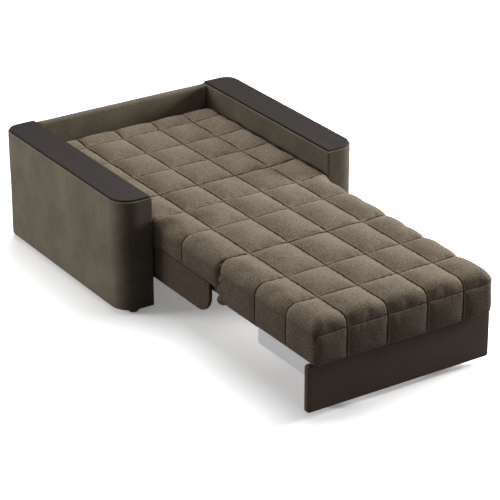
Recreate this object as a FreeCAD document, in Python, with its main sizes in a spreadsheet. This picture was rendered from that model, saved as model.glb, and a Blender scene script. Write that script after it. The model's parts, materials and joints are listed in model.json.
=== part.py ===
import FreeCAD, Part
import math
import os
from types import SimpleNamespace

import Sketcher
from FreeCAD import Rotation, Vector

# Convertible chair bed, open as a bed. Millimetres, +Z up, front of the bed towards -Y.
# The origin is on the floor, under the middle of the open bed.

DIMENSIONS = {
    # Arms and back
    "seat_width": 820,
    "arm_width": 146,
    "arm_height": 476,
    "arm_reach": 914,
    "back_thickness": 38,
    "front_corner": 80,
    "rear_corner": 60,
    "cover_thickness": 6,
    "cover_edge": 4,
    "back_edge": 14,
    "board_thickness": 16,
    "skin_thickness": 4,
    "rib_count": 3,
    "top_thickness": 16,
    "top_proud": 8,
    "top_gap": 0.5,
    "top_edge": 2,
    "foot_height": 18,
    "foot_radius": 21,
    "foot_setback": 39,
    # Fold axes
    "pivot_drop": 51,
    "pivot_setback": 62,
    "section_reach": 648.5,
    "fold_height": 200,
    "seat_reach": 641,
    # Mattress sections
    "mattress_clearance": 10,
    "crown_height": 396,
    "tuft_crown": 18,
    "row_crown": 17,
    "mattress_depth": 138,
    "seat_skirt": 46,
    "column_pitch": 172.7,
    "row_pitch": 195,
    "edge_radius": 50,
    "roll_radius": 79,
    "roll_gap": 3,
    "butt_gap": 2,
    "butt_radius": 6,
    "back_gap": 3,
    "side_draw": 6,
    "draw_ease": 0.6,
    "front_draw": 8,
    "hem_tuck": 8,
    "corner_radius": 24,
    "quilt_side": 34,
    "quilt_end": 44,
    "quilt_top": 26,
    "lining": 3,
    # Steel frames and slats
    "tube_size": 25,
    "tube_wall": 1.5,
    "frame_setback": 12,
    "rear_frame_inset": 40,
    "middle_frame_inset": 28,
    "seat_frame_inset": 50,
    "slat_count": 5,
    "slat_width": 53,
    "slat_thickness": 8,
    "slat_rise": 11,
    "holder_length": 18,
    "holder_height": 16,
    "holder_wall": 2,
    # Hinges
    "plate_thickness": 4,
    "boss_radius": 14,
    "pin_radius": 5,
    "running_gap": 0.05,
    "plate_gap": 1,
    "pivot_plate_size": 70,
    "screw_inset": 12,
    "ear_width": 30,
    "fold_ear_heel": 86,
    "fold_ear_weld": 94,
    "ear_slot_depth": 28,
    "ear_slot_side": 5,
    # Rest under the open bed
    "rail_thickness": 20,
    "rail_bottom": 25,
    "rail_height": 85,
    "rest_setback": 65,
    "post_width": 40,
    "post_bottom": 30,
    "pad_thickness": 5,
    "rest_gap": 0.5,
    "bracket_leg": 30,
    "bracket_height": 60,
    "bracket_thickness": 3,
    # Side panels of the middle section
    "panel_board": 10,
    "panel_cover": 3,
    "panel_length": 460,
    "panel_drop": 130,
    "panel_end": 59,
    "panel_front_corner": 80,
    "panel_rear_corner": 30,
    # Front panel and linen box
    "front_board": 18,
    "front_cover": 3,
    "front_side_gap": 2,
    "front_setback": 32,
    "front_bottom": 22,
    "front_gap": 1,
    "front_edge": 5,
    "front_corner_round": 12,
    "box_board": 16,
    "box_bottom_height": 140,
    "box_length": 343,
    "box_floor": 6,
    # Rollers
    "roller_radius": 24,
    "roller_width": 22,
    "roller_edge": 4,
    "roller_place": 300,
    "roller_setback": 32,
    "roller_side_gap": 1,
    "axle_radius": 4,
    "axle_head": 7,
    "cheek_thickness": 3,
    "bracket_plate_height": 62,
    # Fasteners
    "bolt_radius": 4,
    "bolt_length": 52,
    "bolt_head_radius": 8,
    "bolt_head_height": 4,
    "bolt_spacing": 260,
    "screw_radius": 2.5,
    "screw_length": 22,
    "screw_head_radius": 4.5,
    "screw_head_height": 2.5,
    "fastener_gap": 0.25,
}


class Size:
    """A length that knows its value and the sheet formula that gives it."""

    def __init__(self, value, formula):
        self.value = float(value)
        self.formula = formula

    def __add__(self, other):
        other = as_size(other)
        return Size(self.value + other.value, "(%s + %s)" % (self.formula, other.formula))

    def __sub__(self, other):
        other = as_size(other)
        return Size(self.value - other.value, "(%s - %s)" % (self.formula, other.formula))

    def __mul__(self, other):
        other = as_size(other)
        return Size(self.value * other.value, "(%s * %s)" % (self.formula, other.formula))

    def __truediv__(self, other):
        other = as_size(other)
        return Size(self.value / other.value, "(%s / %s)" % (self.formula, other.formula))

    def __neg__(self):
        return self * -1

    def __float__(self):
        return self.value

    __radd__ = __add__
    __rmul__ = __mul__


def as_size(number):
    return number if isinstance(number, Size) else Size(number, repr(float(number)))


doc = FreeCAD.newDocument("chair_bed")
sheet = doc.addObject("Spreadsheet::Sheet", "Dimensions")
for row, (alias, number) in enumerate(DIMENSIONS.items(), start=1):
    sheet.set("A%d" % row, alias)
    sheet.set("B%d" % row, str(number))
    sheet.setAlias("B%d" % row, alias)
doc.recompute()
D = SimpleNamespace(**{name: Size(sheet.get(name), "Dimensions." + name) for name in DIMENSIONS})

# Places that follow from the sizes
overall_length = D.back_thickness + D.pivot_setback + D.section_reach * 2 + D.seat_reach
back_rear = overall_length / 2
back_face = back_rear - D.back_thickness
arm_front = back_face - D.arm_reach
seat_front = back_face - D.pivot_setback - D.section_reach * 2 - D.seat_reach
pivot_y = back_face - D.pivot_setback
fold_y = pivot_y - D.section_reach
roll_y = fold_y - D.section_reach
arm_inner = D.seat_width / 2
arm_outer = arm_inner + D.arm_width
mattress_half = arm_inner - D.mattress_clearance
underside = D.crown_height - D.mattress_depth
seat_underside = underside - D.seat_skirt
seam_height = D.crown_height - D.tuft_crown
pivot_height = D.crown_height - D.pivot_drop
frame_top = underside
frame_bottom = frame_top - D.tube_size
seat_frame_top = seat_underside
seat_frame_bottom = seat_frame_top - D.tube_size
rear_frame_half = arm_inner - D.rear_frame_inset
middle_frame_half = arm_inner - D.middle_frame_inset
seat_frame_half = arm_inner - D.seat_frame_inset
panel_front = seat_front + D.front_setback
panel_thick = D.front_board + D.front_cover * 2
panel_back = panel_front + panel_thick

parts = []


def bind(item, prop, size):
    """Tie one property of an object to the sheet."""
    item.setExpression(prop, as_size(size).formula)


def place(item, corner):
    for axis, size in zip("xyz", corner):
        bind(item, "Placement.Base.%s" % axis, size)
    return item


def node(item, name):
    """Name a finished piece and list it for export."""
    item.Label = name
    parts.append(item)
    return item


def box(name, low, high):
    """A block between two corners."""
    item = doc.addObject("Part::Box", name)
    for prop, start, end in zip(("Length", "Width", "Height"), low, high):
        bind(item, prop, as_size(end) - start)
    return place(item, low)


def rod(name, radius, start, length, direction):
    """A round bar from a point along an axis."""
    item = doc.addObject("Part::Cylinder", name)
    bind(item, "Radius", radius)
    bind(item, "Height", length)
    item.Placement = FreeCAD.Placement(Vector(), Rotation(Vector(0, 0, 1), direction))
    return place(item, start)


def cut(name, base, tool):
    item = doc.addObject("Part::Cut", name)
    item.Base = base
    item.Tool = tool
    return item


def common(name, base, tool):
    item = doc.addObject("Part::Common", name)
    item.Base = base
    item.Tool = tool
    return item


def fuse(name, pieces):
    item = doc.addObject("Part::MultiFuse", name)
    item.Shapes = pieces
    return item


def group(name, pieces):
    """Separate solids that share one name."""
    item = doc.addObject("Part::Compound", name)
    item.Links = pieces
    return item


def mirrored(name, source):
    """The same piece on the left-hand side."""
    item = doc.addObject("Part::Mirroring", name)
    item.Source = source
    item.Normal = Vector(1, 0, 0)
    item.Base = Vector()
    return item


def pair(name, source):
    return group(name, [source, mirrored(name + "_left_copy", source)])


def rectangle(low, high):
    """The four corners of a rectangle in a sketch."""
    return [(low[0], low[1]), (high[0], low[1]), (high[0], high[1]), (low[0], high[1])]


def sketch_on(body, role, corners, circles=()):
    """A closed outline of straight lines, with round holes, tied to the sheet."""
    sketch = body.newObject("Sketcher::SketchObject", body.Name + "_outline")
    plane = [f for f in body.Origin.OriginFeatures if f.Role == role][0]
    sketch.AttachmentSupport = [(plane, "")]
    sketch.MapMode = "FlatFace"
    points = [Vector(float(across), float(up), 0) for across, up in corners]
    for index, point in enumerate(points):
        sketch.addGeometry(Part.LineSegment(point, points[(index + 1) % len(points)]), False)
    for index, corner in enumerate(corners):
        following = (index + 1) % len(corners)
        sketch.addConstraint(Sketcher.Constraint("Coincident", index, 2, following, 1))
        for kind, size in zip(("DistanceX", "DistanceY"), corner):
            dimension(sketch, Sketcher.Constraint(kind, -1, 1, index, 1, float(size)), size)
    for centre, radius in circles:
        middle = Vector(float(centre[0]), float(centre[1]), 0)
        ring = sketch.addGeometry(Part.Circle(middle, Vector(0, 0, 1), float(radius)), False)
        dimension(sketch, Sketcher.Constraint("Radius", ring, float(radius)), radius)
        for kind, size in zip(("DistanceX", "DistanceY"), centre):
            dimension(sketch, Sketcher.Constraint(kind, -1, 1, ring, 3, float(size)), size)
    return sketch


def dimension(sketch, constraint, size):
    number = sketch.addConstraint(constraint)
    sketch.setExpression("Constraints[%d]" % number, as_size(size).formula)


def plate(name, role, corners, thickness, start, circles=()):
    """A flat piece: its outline on one plane, thickened from start."""
    body = doc.addObject("PartDesign::Body", name)
    pad = body.newObject("PartDesign::Pad", name + "_pad")
    pad.Profile = sketch_on(body, role, corners, circles)
    bind(pad, "Length", thickness)
    axis = {"XY_Plane": "z", "XZ_Plane": "y", "YZ_Plane": "x"}[role]
    bind(body, "Placement.Base.%s" % axis, start)
    return body


def turned(name, corners, centre):
    """A round piece, turned about a vertical axis through centre."""
    body = doc.addObject("PartDesign::Body", name)
    revolution = body.newObject("PartDesign::Revolution", name + "_turn")
    revolution.Profile = sketch_on(body, "XZ_Plane", corners)
    revolution.ReferenceAxis = (revolution.Profile[0], ["V_Axis"])
    revolution.Angle = 360
    return place(body, centre)


def round_edges(body, radius, chosen):
    """Round the edges of a body's last feature that chosen picks."""
    doc.recompute()
    base = body.Tip
    names = ["Edge%d" % (i + 1) for i, edge in enumerate(base.Shape.Edges) if chosen(edge)]
    fillet = body.newObject("PartDesign::Fillet", body.Name + "_round")
    fillet.Base = (base, names)
    bind(fillet, "Radius", radius)
    return body


def near(value, size):
    return abs(value - float(size)) < 0.01


def upright_at(across, along):
    """Picks the upright edge at one corner of a plan."""
    def chosen(edge):
        reach = edge.BoundBox
        upright = near(reach.XLength, 0) and near(reach.YLength, 0)
        return upright and near(reach.XMin, across) and near(reach.YMin, along)
    return chosen


def crossing_at(along, up):
    """Picks the edge that runs across, from side to side, at one place."""
    def chosen(edge):
        reach = edge.BoundBox
        level = near(reach.YLength, 0) and near(reach.ZLength, 0)
        return level and near(reach.YMin, along) and near(reach.ZMin, up)
    return chosen


def edges_at_height(height):
    def chosen(edge):
        return near(edge.BoundBox.ZMin, height) and near(edge.BoundBox.ZMax, height)
    return chosen


def arm_block(name, inset, bottom, top):
    """The arm's rounded plan, inset from its outer faces, between two heights."""
    low_x = arm_inner + inset
    high_x = arm_outer - inset
    low_y = arm_front + inset
    high_y = back_rear - inset
    corners = rectangle((low_x, low_y), (high_x, high_y))
    body = plate(name, "XY_Plane", corners, as_size(top) - bottom, bottom)
    round_edges(body, D.front_corner - inset, upright_at(high_x, low_y))
    round_edges(body, D.rear_corner - inset, upright_at(high_x, high_y))
    return body


def screw(name, tip, length, direction, radius, head_radius, head_height):
    """A round-headed fastener whose shank starts under its head at tip."""
    shank = rod(name + "_shank", radius, tip, length, direction)
    back = [as_size(t) - head_height * d for t, d in zip(tip, direction)]
    head = rod(name + "_head", head_radius, back, head_height, direction)
    return fuse(name, [shank, head])


# Fasteners of the right arm, and the holes that they need
bolt_x = arm_inner + D.cover_thickness + D.board_thickness
bolt_y = back_face + D.back_thickness / 2
bolt_middle = (D.foot_height + D.arm_height) / 2
bolt_points = [(bolt_x, bolt_y, bolt_middle + D.bolt_spacing / 2 * side) for side in (-1, 1)]
plate_face = arm_inner - D.plate_thickness
screw_reach = D.pivot_plate_size / 2 - D.screw_inset
screw_points = [
    (plate_face, pivot_y + screw_reach * side_y, pivot_height + screw_reach * side_z)
    for side_y in (-1, 1)
    for side_z in (-1, 1)
]
inward = Vector(-1, 0, 0)
outward = Vector(1, 0, 0)
upward = Vector(0, 0, 1)


def holes(name, points, length, direction, radius):
    """Clearance holes along a row of fasteners."""
    drills = [rod("%s_%d" % (name, i), radius + D.fastener_gap, point, length, direction)
              for i, point in enumerate(points)]
    return group(name, drills)


bolt_holes = holes("bolt_holes", bolt_points, D.bolt_length + 1, inward, D.bolt_radius)
screw_holes = holes("screw_holes", screw_points, D.screw_length + 1, outward, D.screw_radius)
arm_holes = group("arm_holes", [bolt_holes, screw_holes])

# Arms: cover, arm top, and the case inside
case_bottom = D.foot_height
top_seat = D.arm_height + D.top_proud - D.top_thickness
arm_skin_outside = arm_block("arm_cover_outside", as_size(0), D.foot_height, D.arm_height)
round_edges(arm_skin_outside, D.cover_edge, edges_at_height(D.arm_height - D.foot_height))
arm_cover_inside = arm_block("arm_cover_inside", D.cover_thickness, D.foot_height - 1, D.arm_height + 1)
arm_cover_shell = cut("arm_cover_shell", arm_skin_outside, arm_cover_inside)
right_cover = node(cut("right_arm_cover_cut", arm_cover_shell, arm_holes), "right_arm_cover")
node(mirrored("left_arm_cover_mirror", right_cover), "left_arm_cover")

top_inset = D.cover_thickness + D.top_gap
right_top = arm_block("right_arm_top_board", top_inset, top_seat, top_seat + D.top_thickness)
round_edges(right_top, D.top_edge, edges_at_height(D.top_thickness))
node(right_top, "right_arm_top")
node(mirrored("left_arm_top_mirror", right_top), "left_arm_top")

foot_x = (arm_inner + arm_outer) / 2
foot_points = [(foot_x, arm_front + D.foot_setback), (foot_x, back_rear - D.foot_setback)]
plate_low = arm_block("arm_bottom_plate", D.cover_thickness, case_bottom, case_bottom + D.board_thickness)
foot_holes = holes("foot_holes", [(x, y, case_bottom - 1) for x, y in foot_points],
                   D.board_thickness + 2, upward, D.screw_radius)
plate_low_drilled = cut("arm_bottom_plate_drilled", plate_low, foot_holes)
plate_high = arm_block("arm_top_plate", D.cover_thickness, top_seat - D.board_thickness, top_seat)
case_low = case_bottom + D.board_thickness
case_high = top_seat - D.board_thickness
panel_x = arm_inner + D.cover_thickness + D.board_thickness
skin_inside = D.cover_thickness + D.skin_thickness
ribs = []
for number in range(int(D.rib_count.value)):
    share = (number + 1) / (D.rib_count.value + 1)
    rib_y = arm_front + (back_rear - arm_front) * share
    ribs.append(box("arm_rib_%d" % number,
                    (panel_x, rib_y - D.board_thickness / 2, case_low),
                    (arm_outer - skin_inside, rib_y + D.board_thickness / 2, case_high)))
right_frame = node(group("right_arm_frame_boards", [plate_low_drilled, plate_high] + ribs), "right_arm_frame")
node(mirrored("left_arm_frame_mirror", right_frame), "left_arm_frame")

inner_panel = box("arm_inner_board",
                  (arm_inner + D.cover_thickness, arm_front + D.cover_thickness, case_low),
                  (panel_x, back_rear - D.cover_thickness, case_high))
right_panel = node(cut("right_arm_inner_panel_drilled", inner_panel, arm_holes), "right_arm_inner_panel")
node(mirrored("left_arm_inner_panel_mirror", right_panel), "left_arm_inner_panel")

skin_out = arm_block("arm_skin_out", D.cover_thickness, case_low, case_high)
skin_in = arm_block("arm_skin_in", skin_inside, case_low - 1, case_high + 1)
skin_shell = cut("arm_skin_shell", skin_out, skin_in)
skin_trim = box("arm_skin_trim",
                (arm_inner, arm_front - 1, case_low - 1),
                (panel_x, back_rear + 1, case_high + 1))
right_skin = node(cut("right_arm_skin_trimmed", skin_shell, skin_trim), "right_arm_skin")
node(mirrored("left_arm_skin_mirror", right_skin), "left_arm_skin")

# Back between the arms
back_height = D.arm_height - D.foot_height
back_plan = rectangle((-arm_inner, back_face), (arm_inner, back_rear))
back_outside = plate("back_cover_outside", "XY_Plane", back_plan, back_height, D.foot_height)


def back_top_edge(edge):
    return edges_at_height(back_height)(edge) and near(edge.BoundBox.YLength, 0)


round_edges(back_outside, D.back_edge, back_top_edge)
back_core = box("back_core",
                (-arm_inner, back_face + D.cover_thickness, D.foot_height + D.cover_thickness),
                (arm_inner, back_rear - D.cover_thickness, D.arm_height - D.cover_thickness))
node(cut("back_cover_shell", back_outside, back_core), "back_cover")
node(cut("back_board_drilled", back_core, pair("back_bolt_holes", bolt_holes)), "back_board")
bolts = [screw("back_bolt_%d" % i, point, D.bolt_length, inward, D.bolt_radius,
               D.bolt_head_radius, D.bolt_head_height) for i, point in enumerate(bolt_points)]
node(pair("back_bolt_group", group("back_bolts_right", bolts)), "back_bolts")

# Feet and their screws
foot_recess = D.foot_height / 3
foot_edge = D.foot_radius / 7
hole_radius = D.screw_radius + D.fastener_gap
recess_radius = D.screw_head_radius + 2
foot_outline = [
    (recess_radius, 0),
    (D.foot_radius - foot_edge, 0),
    (D.foot_radius, foot_edge),
    (D.foot_radius, D.foot_height),
    (hole_radius, D.foot_height),
    (hole_radius, foot_recess),
    (recess_radius, foot_recess),
]
feet = [turned("foot_%d" % i, foot_outline, (x, y, 0)) for i, (x, y) in enumerate(foot_points)]
node(pair("foot_group", group("feet_right", feet)), "feet")
foot_screw_length = D.foot_height - foot_recess + D.board_thickness - 2
foot_screws = [screw("foot_screw_%d" % i, (x, y, foot_recess), foot_screw_length, upward, D.screw_radius,
                     D.screw_head_radius, D.screw_head_height) for i, (x, y) in enumerate(foot_points)]
node(pair("foot_screw_group", group("foot_screws_right", foot_screws)), "foot_screws")

# Pivot plates on the arms, their screws and the rear pivot pins
half_plate = D.pivot_plate_size / 2
plate_corners = rectangle((pivot_y - half_plate, pivot_height - half_plate),
                          (pivot_y + half_plate, pivot_height + half_plate))
plate_holes = [((y, z), D.screw_radius + D.fastener_gap) for x, y, z in screw_points]
plate_holes.append(((pivot_y, pivot_height), D.pin_radius + D.running_gap))
pivot_plate = plate("pivot_plate", "YZ_Plane", plate_corners, D.plate_thickness, plate_face, plate_holes)
node(pair("pivot_plate_pair", pivot_plate), "pivot_plates")
plate_screws = [screw("plate_screw_%d" % i, point, D.screw_length, outward, D.screw_radius,
                      D.screw_head_radius, D.plate_gap / 2) for i, point in enumerate(screw_points)]
node(pair("plate_screw_group", group("plate_screws_right", plate_screws)), "pivot_plate_screws")
ear_x = plate_face - D.plate_gap - D.plate_thickness
pivot_pin_reach = arm_inner - D.plate_gap / 2 - ear_x
pivot_pin = rod("pivot_pin", D.pin_radius, (ear_x, pivot_y, pivot_height), pivot_pin_reach, outward)
node(pair("pivot_pin_pair", pivot_pin), "pivot_pins")

# Cross rail, rest posts and pads under the joint of the rear and middle sections
rail_front = fold_y + D.rest_setback - D.rail_thickness
rail_back = rail_front + D.rail_thickness
rail_low = (-arm_inner, rail_front, D.rail_bottom)
rail_high = (arm_inner, rail_back, D.rail_bottom + D.rail_height)
node(box("cross_rail_board", rail_low, rail_high), "cross_rail")
rest_top = D.fold_height - D.boss_radius - D.rest_gap
rest_ear_x = rear_frame_half - D.tube_size / 2 - D.plate_thickness
post_low_x = rest_ear_x + D.plate_thickness / 2 - D.post_width / 2
post_high_x = post_low_x + D.post_width
post_back = rail_back + D.rail_thickness
post_top = rest_top - D.pad_thickness
post = box("rest_post", (post_low_x, rail_back, D.post_bottom), (post_high_x, post_back, post_top))
node(pair("rest_post_pair", post), "rest_posts")
pad = box("rest_pad", (post_low_x, rail_back, post_top), (post_high_x, post_back, rest_top))
node(pair("rest_pad_pair", pad), "rest_pads")
bracket_low = D.rail_bottom + (D.rail_height - D.bracket_height) / 2
bracket_high = bracket_low + D.bracket_height
bracket_arm = box("rail_bracket_arm", (arm_inner - D.bracket_thickness, rail_back, bracket_low),
                  (arm_inner, rail_back + D.bracket_leg, bracket_high))
bracket_rail = box("rail_bracket_rail", (arm_inner - D.bracket_leg, rail_back, bracket_low),
                   (arm_inner, rail_back + D.bracket_thickness, bracket_high))
node(pair("rail_bracket_pair", fuse("rail_bracket", [bracket_arm, bracket_rail])), "rail_brackets")


def tube(name, low, high, along):
    """A square steel tube, open at its two ends."""
    outside = box(name + "_outside", low, high)
    walls = [as_size(-1) if axis == along else D.tube_wall for axis in "xyz"]
    bore_low = [wall + end for wall, end in zip(walls, low)]
    bore_high = [as_size(end) - wall for wall, end in zip(walls, high)]
    return cut(name, outside, box(name + "_inside", bore_low, bore_high))


def steel_frame(name, half_width, front, rear, bottom):
    """A welded frame: two long tubes with two cross tubes between them."""
    top = bottom + D.tube_size
    inner = half_width - D.tube_size
    right = tube(name + "_right_tube", (inner, front, bottom), (half_width, rear, top), "y")
    left = tube(name + "_left_tube", (-half_width, front, bottom), (-inner, rear, top), "y")
    ahead = tube(name + "_front_tube", (-inner, front, bottom), (inner, front + D.tube_size, top), "x")
    behind = tube(name + "_rear_tube", (-inner, rear - D.tube_size, bottom), (inner, rear, top), "x")
    return node(fuse(name + "_weld", [right, left, ahead, behind]), name)


def bent_sheet(name, half_span, low, front, rear):
    """The arched sheet that the slats are cut from."""
    bend = (half_span * half_span + D.slat_rise * D.slat_rise) / (D.slat_rise * 2)
    centre = low + D.slat_thickness + D.slat_rise - bend
    back = Vector(0, 1, 0)
    outside = rod(name + "_outside", bend, (0, front, centre), as_size(rear) - front, back)
    inside = rod(name + "_inside", bend - D.slat_thickness, (0, front, centre), as_size(rear) - front, back)
    return cut(name, outside, inside)


def slats(name, half_width, front, rear, bottom):
    """Bent slats across a frame, and the holders moulded round their ends."""
    inner = half_width - D.tube_size
    half_span = inner - D.holder_wall
    low = bottom + D.holder_wall
    first = front + D.tube_size
    clear = as_size(rear) - D.tube_size - first
    high = bottom + D.tube_size
    blanks = []
    seats = []
    for number in range(int(D.slat_count.value)):
        middle = first + clear * ((number + 0.5) / D.slat_count.value)
        ahead = middle - D.slat_width / 2
        behind = middle + D.slat_width / 2
        blank = box("%s_blank_%d" % (name, number), (-half_span, ahead, bottom), (half_span, behind, high))
        blanks.append(blank)
        seat = box("%s_holder_block_%d" % (name, number),
                   (inner - D.holder_length, ahead - D.holder_wall, bottom),
                   (inner, behind + D.holder_wall, bottom + D.holder_height))
        seats += [seat, mirrored("%s_holder_block_left_%d" % (name, number), seat)]
    arch = bent_sheet(name + "_arch", half_span, low, front, rear)
    bent = node(common(name + "_bent", group(name + "_blanks", blanks), arch), name + "_slats")
    node(cut(name + "_slotted", group(name + "_holder_blocks", seats), bent), name + "_slat_holders")


class Pen:
    """Draws a closed outline of lines and arcs in one plane."""

    def __init__(self, lift, start):
        self.lift = lift
        self.start = start
        self.at = start
        self.edges = []

    def line(self, *end):
        self.edges.append(Part.LineSegment(self.lift(*self.at), self.lift(*end)).toShape())
        self.at = end

    def bow(self, end, depth):
        """An arc to end that stands off its chord by depth, to the left of the way there."""
        run = (end[0] - self.at[0], end[1] - self.at[1])
        share = depth / math.hypot(*run)
        middle = (self.at[0] + run[0] / 2 - run[1] * share, self.at[1] + run[1] / 2 + run[0] * share)
        arc = Part.Arc(self.lift(*self.at), self.lift(*middle), self.lift(*end))
        self.edges.append(arc.toShape())
        self.at = end

    def turn(self, end, heading, arriving=False):
        """An arc to end that leaves, or arrives, along heading."""
        run = (end[0] - self.at[0], end[1] - self.at[1])
        across = run[0] * heading[1] - run[1] * heading[0]
        along = run[0] * heading[0] + run[1] * heading[1]
        swing = math.atan2(across, along)
        depth = math.hypot(*run) / 2 * math.tan(swing / 2)
        self.bow(end, -depth if arriving else depth)

    def face(self):
        if math.dist(self.at, self.start) > 1e-6:
            self.line(*self.start)
        return Part.Face(Part.Wire(self.edges))


def on_front(across, up):
    return Vector(across, 0, up)


def on_side(along, up):
    return Vector(0, along, up)


def on_plan(across, along):
    return Vector(across, along, 0)


def seam_columns():
    return [D.column_pitch.value * step for step in (-1.5, -0.5, 0.5, 1.5)]


def across_face(bottom):
    """The section across a mattress: rounded shoulders, drawn-in hems and a crown on each column."""
    half = mattress_half.value
    shoulder = D.edge_radius.value
    tuck = D.hem_tuck.value
    seams = seam_columns()
    top = D.crown_height.value
    seam = seam_height.value
    pen = Pen(on_front, (-half + tuck, bottom))
    pen.turn((-half, top - shoulder), (0, 1), arriving=True)
    pen.turn((-half + shoulder, top), (0, 1))
    pen.turn((seams[0], seam), (1, 0))
    for column in seams[1:]:
        pen.bow((column, seam), D.tuft_crown.value)
    pen.turn((half - shoulder, top), (1, 0), arriving=True)
    pen.turn((half, top - shoulder), (1, 0))
    pen.turn((half - tuck, bottom), (0, -1))
    return pen.face()


def rows_between(rear_point, seams, front_point, pen):
    """Crowned rows from the rear end to the front end, level where they meet the ends."""
    seam = seam_height.value
    crown = -D.row_crown.value
    if rear_point[1] > seam:
        pen.turn((seams[0], seam), (-1, 0))
    else:
        pen.bow((seams[0], seam), crown)
    for row_seam in seams[1:]:
        pen.bow((row_seam, seam), crown)
    if front_point[1] > seam:
        pen.turn(front_point, (-1, 0), arriving=True)
    else:
        pen.bow(front_point, crown)


def along_face(rear, rear_kind, seams, front, front_kind, bottom):
    """The section along a mattress, from its rear end forwards.

    A swing end clears the back as it turns about the rear pivot, a butt end meets its neighbour
    in a seam, a roll end is rounded so that it folds against its neighbour, and a nose end is
    the front of the bed."""
    seam = seam_height.value
    top = seam + D.row_crown.value
    pen = Pen(on_side, (rear, bottom))
    if rear_kind == "swing":
        radius = rear - pivot_y.value
        rise = top - pivot_height.value
        start = (pivot_y.value + math.sqrt(radius ** 2 - rise ** 2), top)
        pen.line(rear, pivot_height.value)
        pen.turn(start, (0, 1))
    elif rear_kind == "butt":
        small = D.butt_radius.value
        start = (rear - small, seam)
        pen.line(rear, seam - small)
        pen.turn(start, (0, 1))
    else:
        radius = D.roll_radius.value
        start = (rear - radius, top)
        pen.line(rear, top - radius)
        pen.turn(start, (0, 1))
    ends = {"butt": D.butt_radius.value, "roll": D.roll_radius.value, "nose": D.edge_radius.value}
    radius = ends[front_kind]
    level = seam if front_kind == "butt" else top
    rows_between(start, seams, (front + radius, level), pen)
    pen.turn((front, level - radius), (-1, 0))
    if front_kind == "nose":
        pen.turn((front + D.hem_tuck.value, bottom), (0, -1))
    else:
        pen.line(front, bottom)
    return pen.face()


def plan_face(rear, front, seams, rear_draw, front_draw):
    """The plan of a mattress, drawn in at every seam along its sides and ends.

    It is eased outwards a little, so that it crosses the other two sections and doesn't just touch them."""
    half = mattress_half.value + D.draw_ease.value
    rear += D.draw_ease.value
    front -= D.draw_ease.value
    corner = D.corner_radius.value
    draw = D.side_draw.value
    columns = seam_columns()
    pen = Pen(on_plan, (half - corner, rear))
    pen.turn((half, rear - corner), (1, 0))
    scallops(pen, [(half - draw, seam) for seam in seams] + [(half, front + corner)], draw)
    pen.turn((half - corner, front), (0, -1))
    front_ends = [(column, front + front_draw) for column in reversed(columns)] + [(corner - half, front)]
    scallops(pen, front_ends, front_draw)
    pen.turn((-half, front + corner), (-1, 0))
    scallops(pen, [(draw - half, seam) for seam in reversed(seams)] + [(-half, rear - corner)], draw)
    pen.turn((corner - half, rear), (0, 1))
    scallops(pen, [(column, rear - rear_draw) for column in columns] + [(half - corner, rear)], rear_draw)
    return pen.face()


def scallops(pen, ends, draw):
    """A run of shallow outward arcs, one from each seam to the next."""
    for number, end in enumerate(ends):
        if draw == 0:
            pen.line(*end)
        elif number in (0, len(ends) - 1):
            pen.bow(end, draw / 2)
        else:
            pen.bow(end, draw)


def mattress(name, rear, rear_kind, seams, front, front_kind, bottom, slots):
    """A quilted cover in the form of the whole cushion, and the foam block inside it."""
    height = D.crown_height.value + 1
    half = mattress_half.value
    draws = {"swing": 0, "butt": 0, "roll": D.front_draw.value, "nose": D.front_draw.value}
    across = across_face(bottom).extrude(Vector(0, front - rear - 20, 0))
    across.translate(Vector(0, rear + 10, 0))
    along = along_face(rear, rear_kind, seams, front, front_kind, bottom).extrude(Vector(half * 2 + 20, 0, 0))
    along.translate(Vector(-half - 10, 0, 0))
    plan = plan_face(rear, front, seams, draws[rear_kind], draws[front_kind]).extrude(Vector(0, 0, height))
    side = D.quilt_side.value
    end = D.quilt_end.value
    core = Part.makeBox(2 * (half - side), rear - front - 2 * end,
                        seam_height.value - D.quilt_top.value - bottom - D.lining.value,
                        Vector(side - half, front + end, bottom + D.lining.value))
    shape = across.common(along).common(plan).cut(core)
    for slot in slots:
        shape = shape.cut(slot)
    cover = doc.addObject("Part::Feature", name + "_mattress_cover_form")
    cover.Shape = shape.Solids[0] if len(shape.Solids) == 1 else shape
    node(cover, name + "_mattress_cover")
    foam = doc.addObject("Part::Feature", name + "_mattress_foam_block")
    foam.Shape = core
    node(foam, name + "_mattress_foam")


def ear_slots(y_low, y_high, bottom):
    """Slots in a mattress end, at the outer seams, for the hinge ears of the seat joint."""
    height = (pivot_height + D.boss_radius + D.ear_slot_side).value - bottom
    low = (seat_ear_x - D.ear_slot_side).value
    high = (seat_ear_x + D.plate_thickness * 2 + D.plate_gap + D.ear_slot_side).value
    size = (high - low, y_high - y_low, height)
    return [Part.makeBox(*size, Vector(start, y_low, bottom)) for start in (low, -high)]


seat_ear_x = D.column_pitch * 1.5 - D.plate_thickness - D.plate_gap / 2

# Rear section
rear_end = (back_face - D.back_gap).value
rear_front_end = (fold_y + D.butt_gap).value
rear_seams = [(fold_y + D.row_pitch * step).value for step in (3, 2, 1)]
mattress("rear", rear_end, "swing", rear_seams, rear_front_end, "butt", underside.value, [])
rear_frame_rear = pivot_y + D.ear_width
rear_frame_front = fold_y + D.frame_setback
steel_frame("rear_frame", rear_frame_half, rear_frame_front, rear_frame_rear, frame_bottom)
slats("rear", rear_frame_half, rear_frame_front, rear_frame_rear, frame_bottom)

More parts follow.
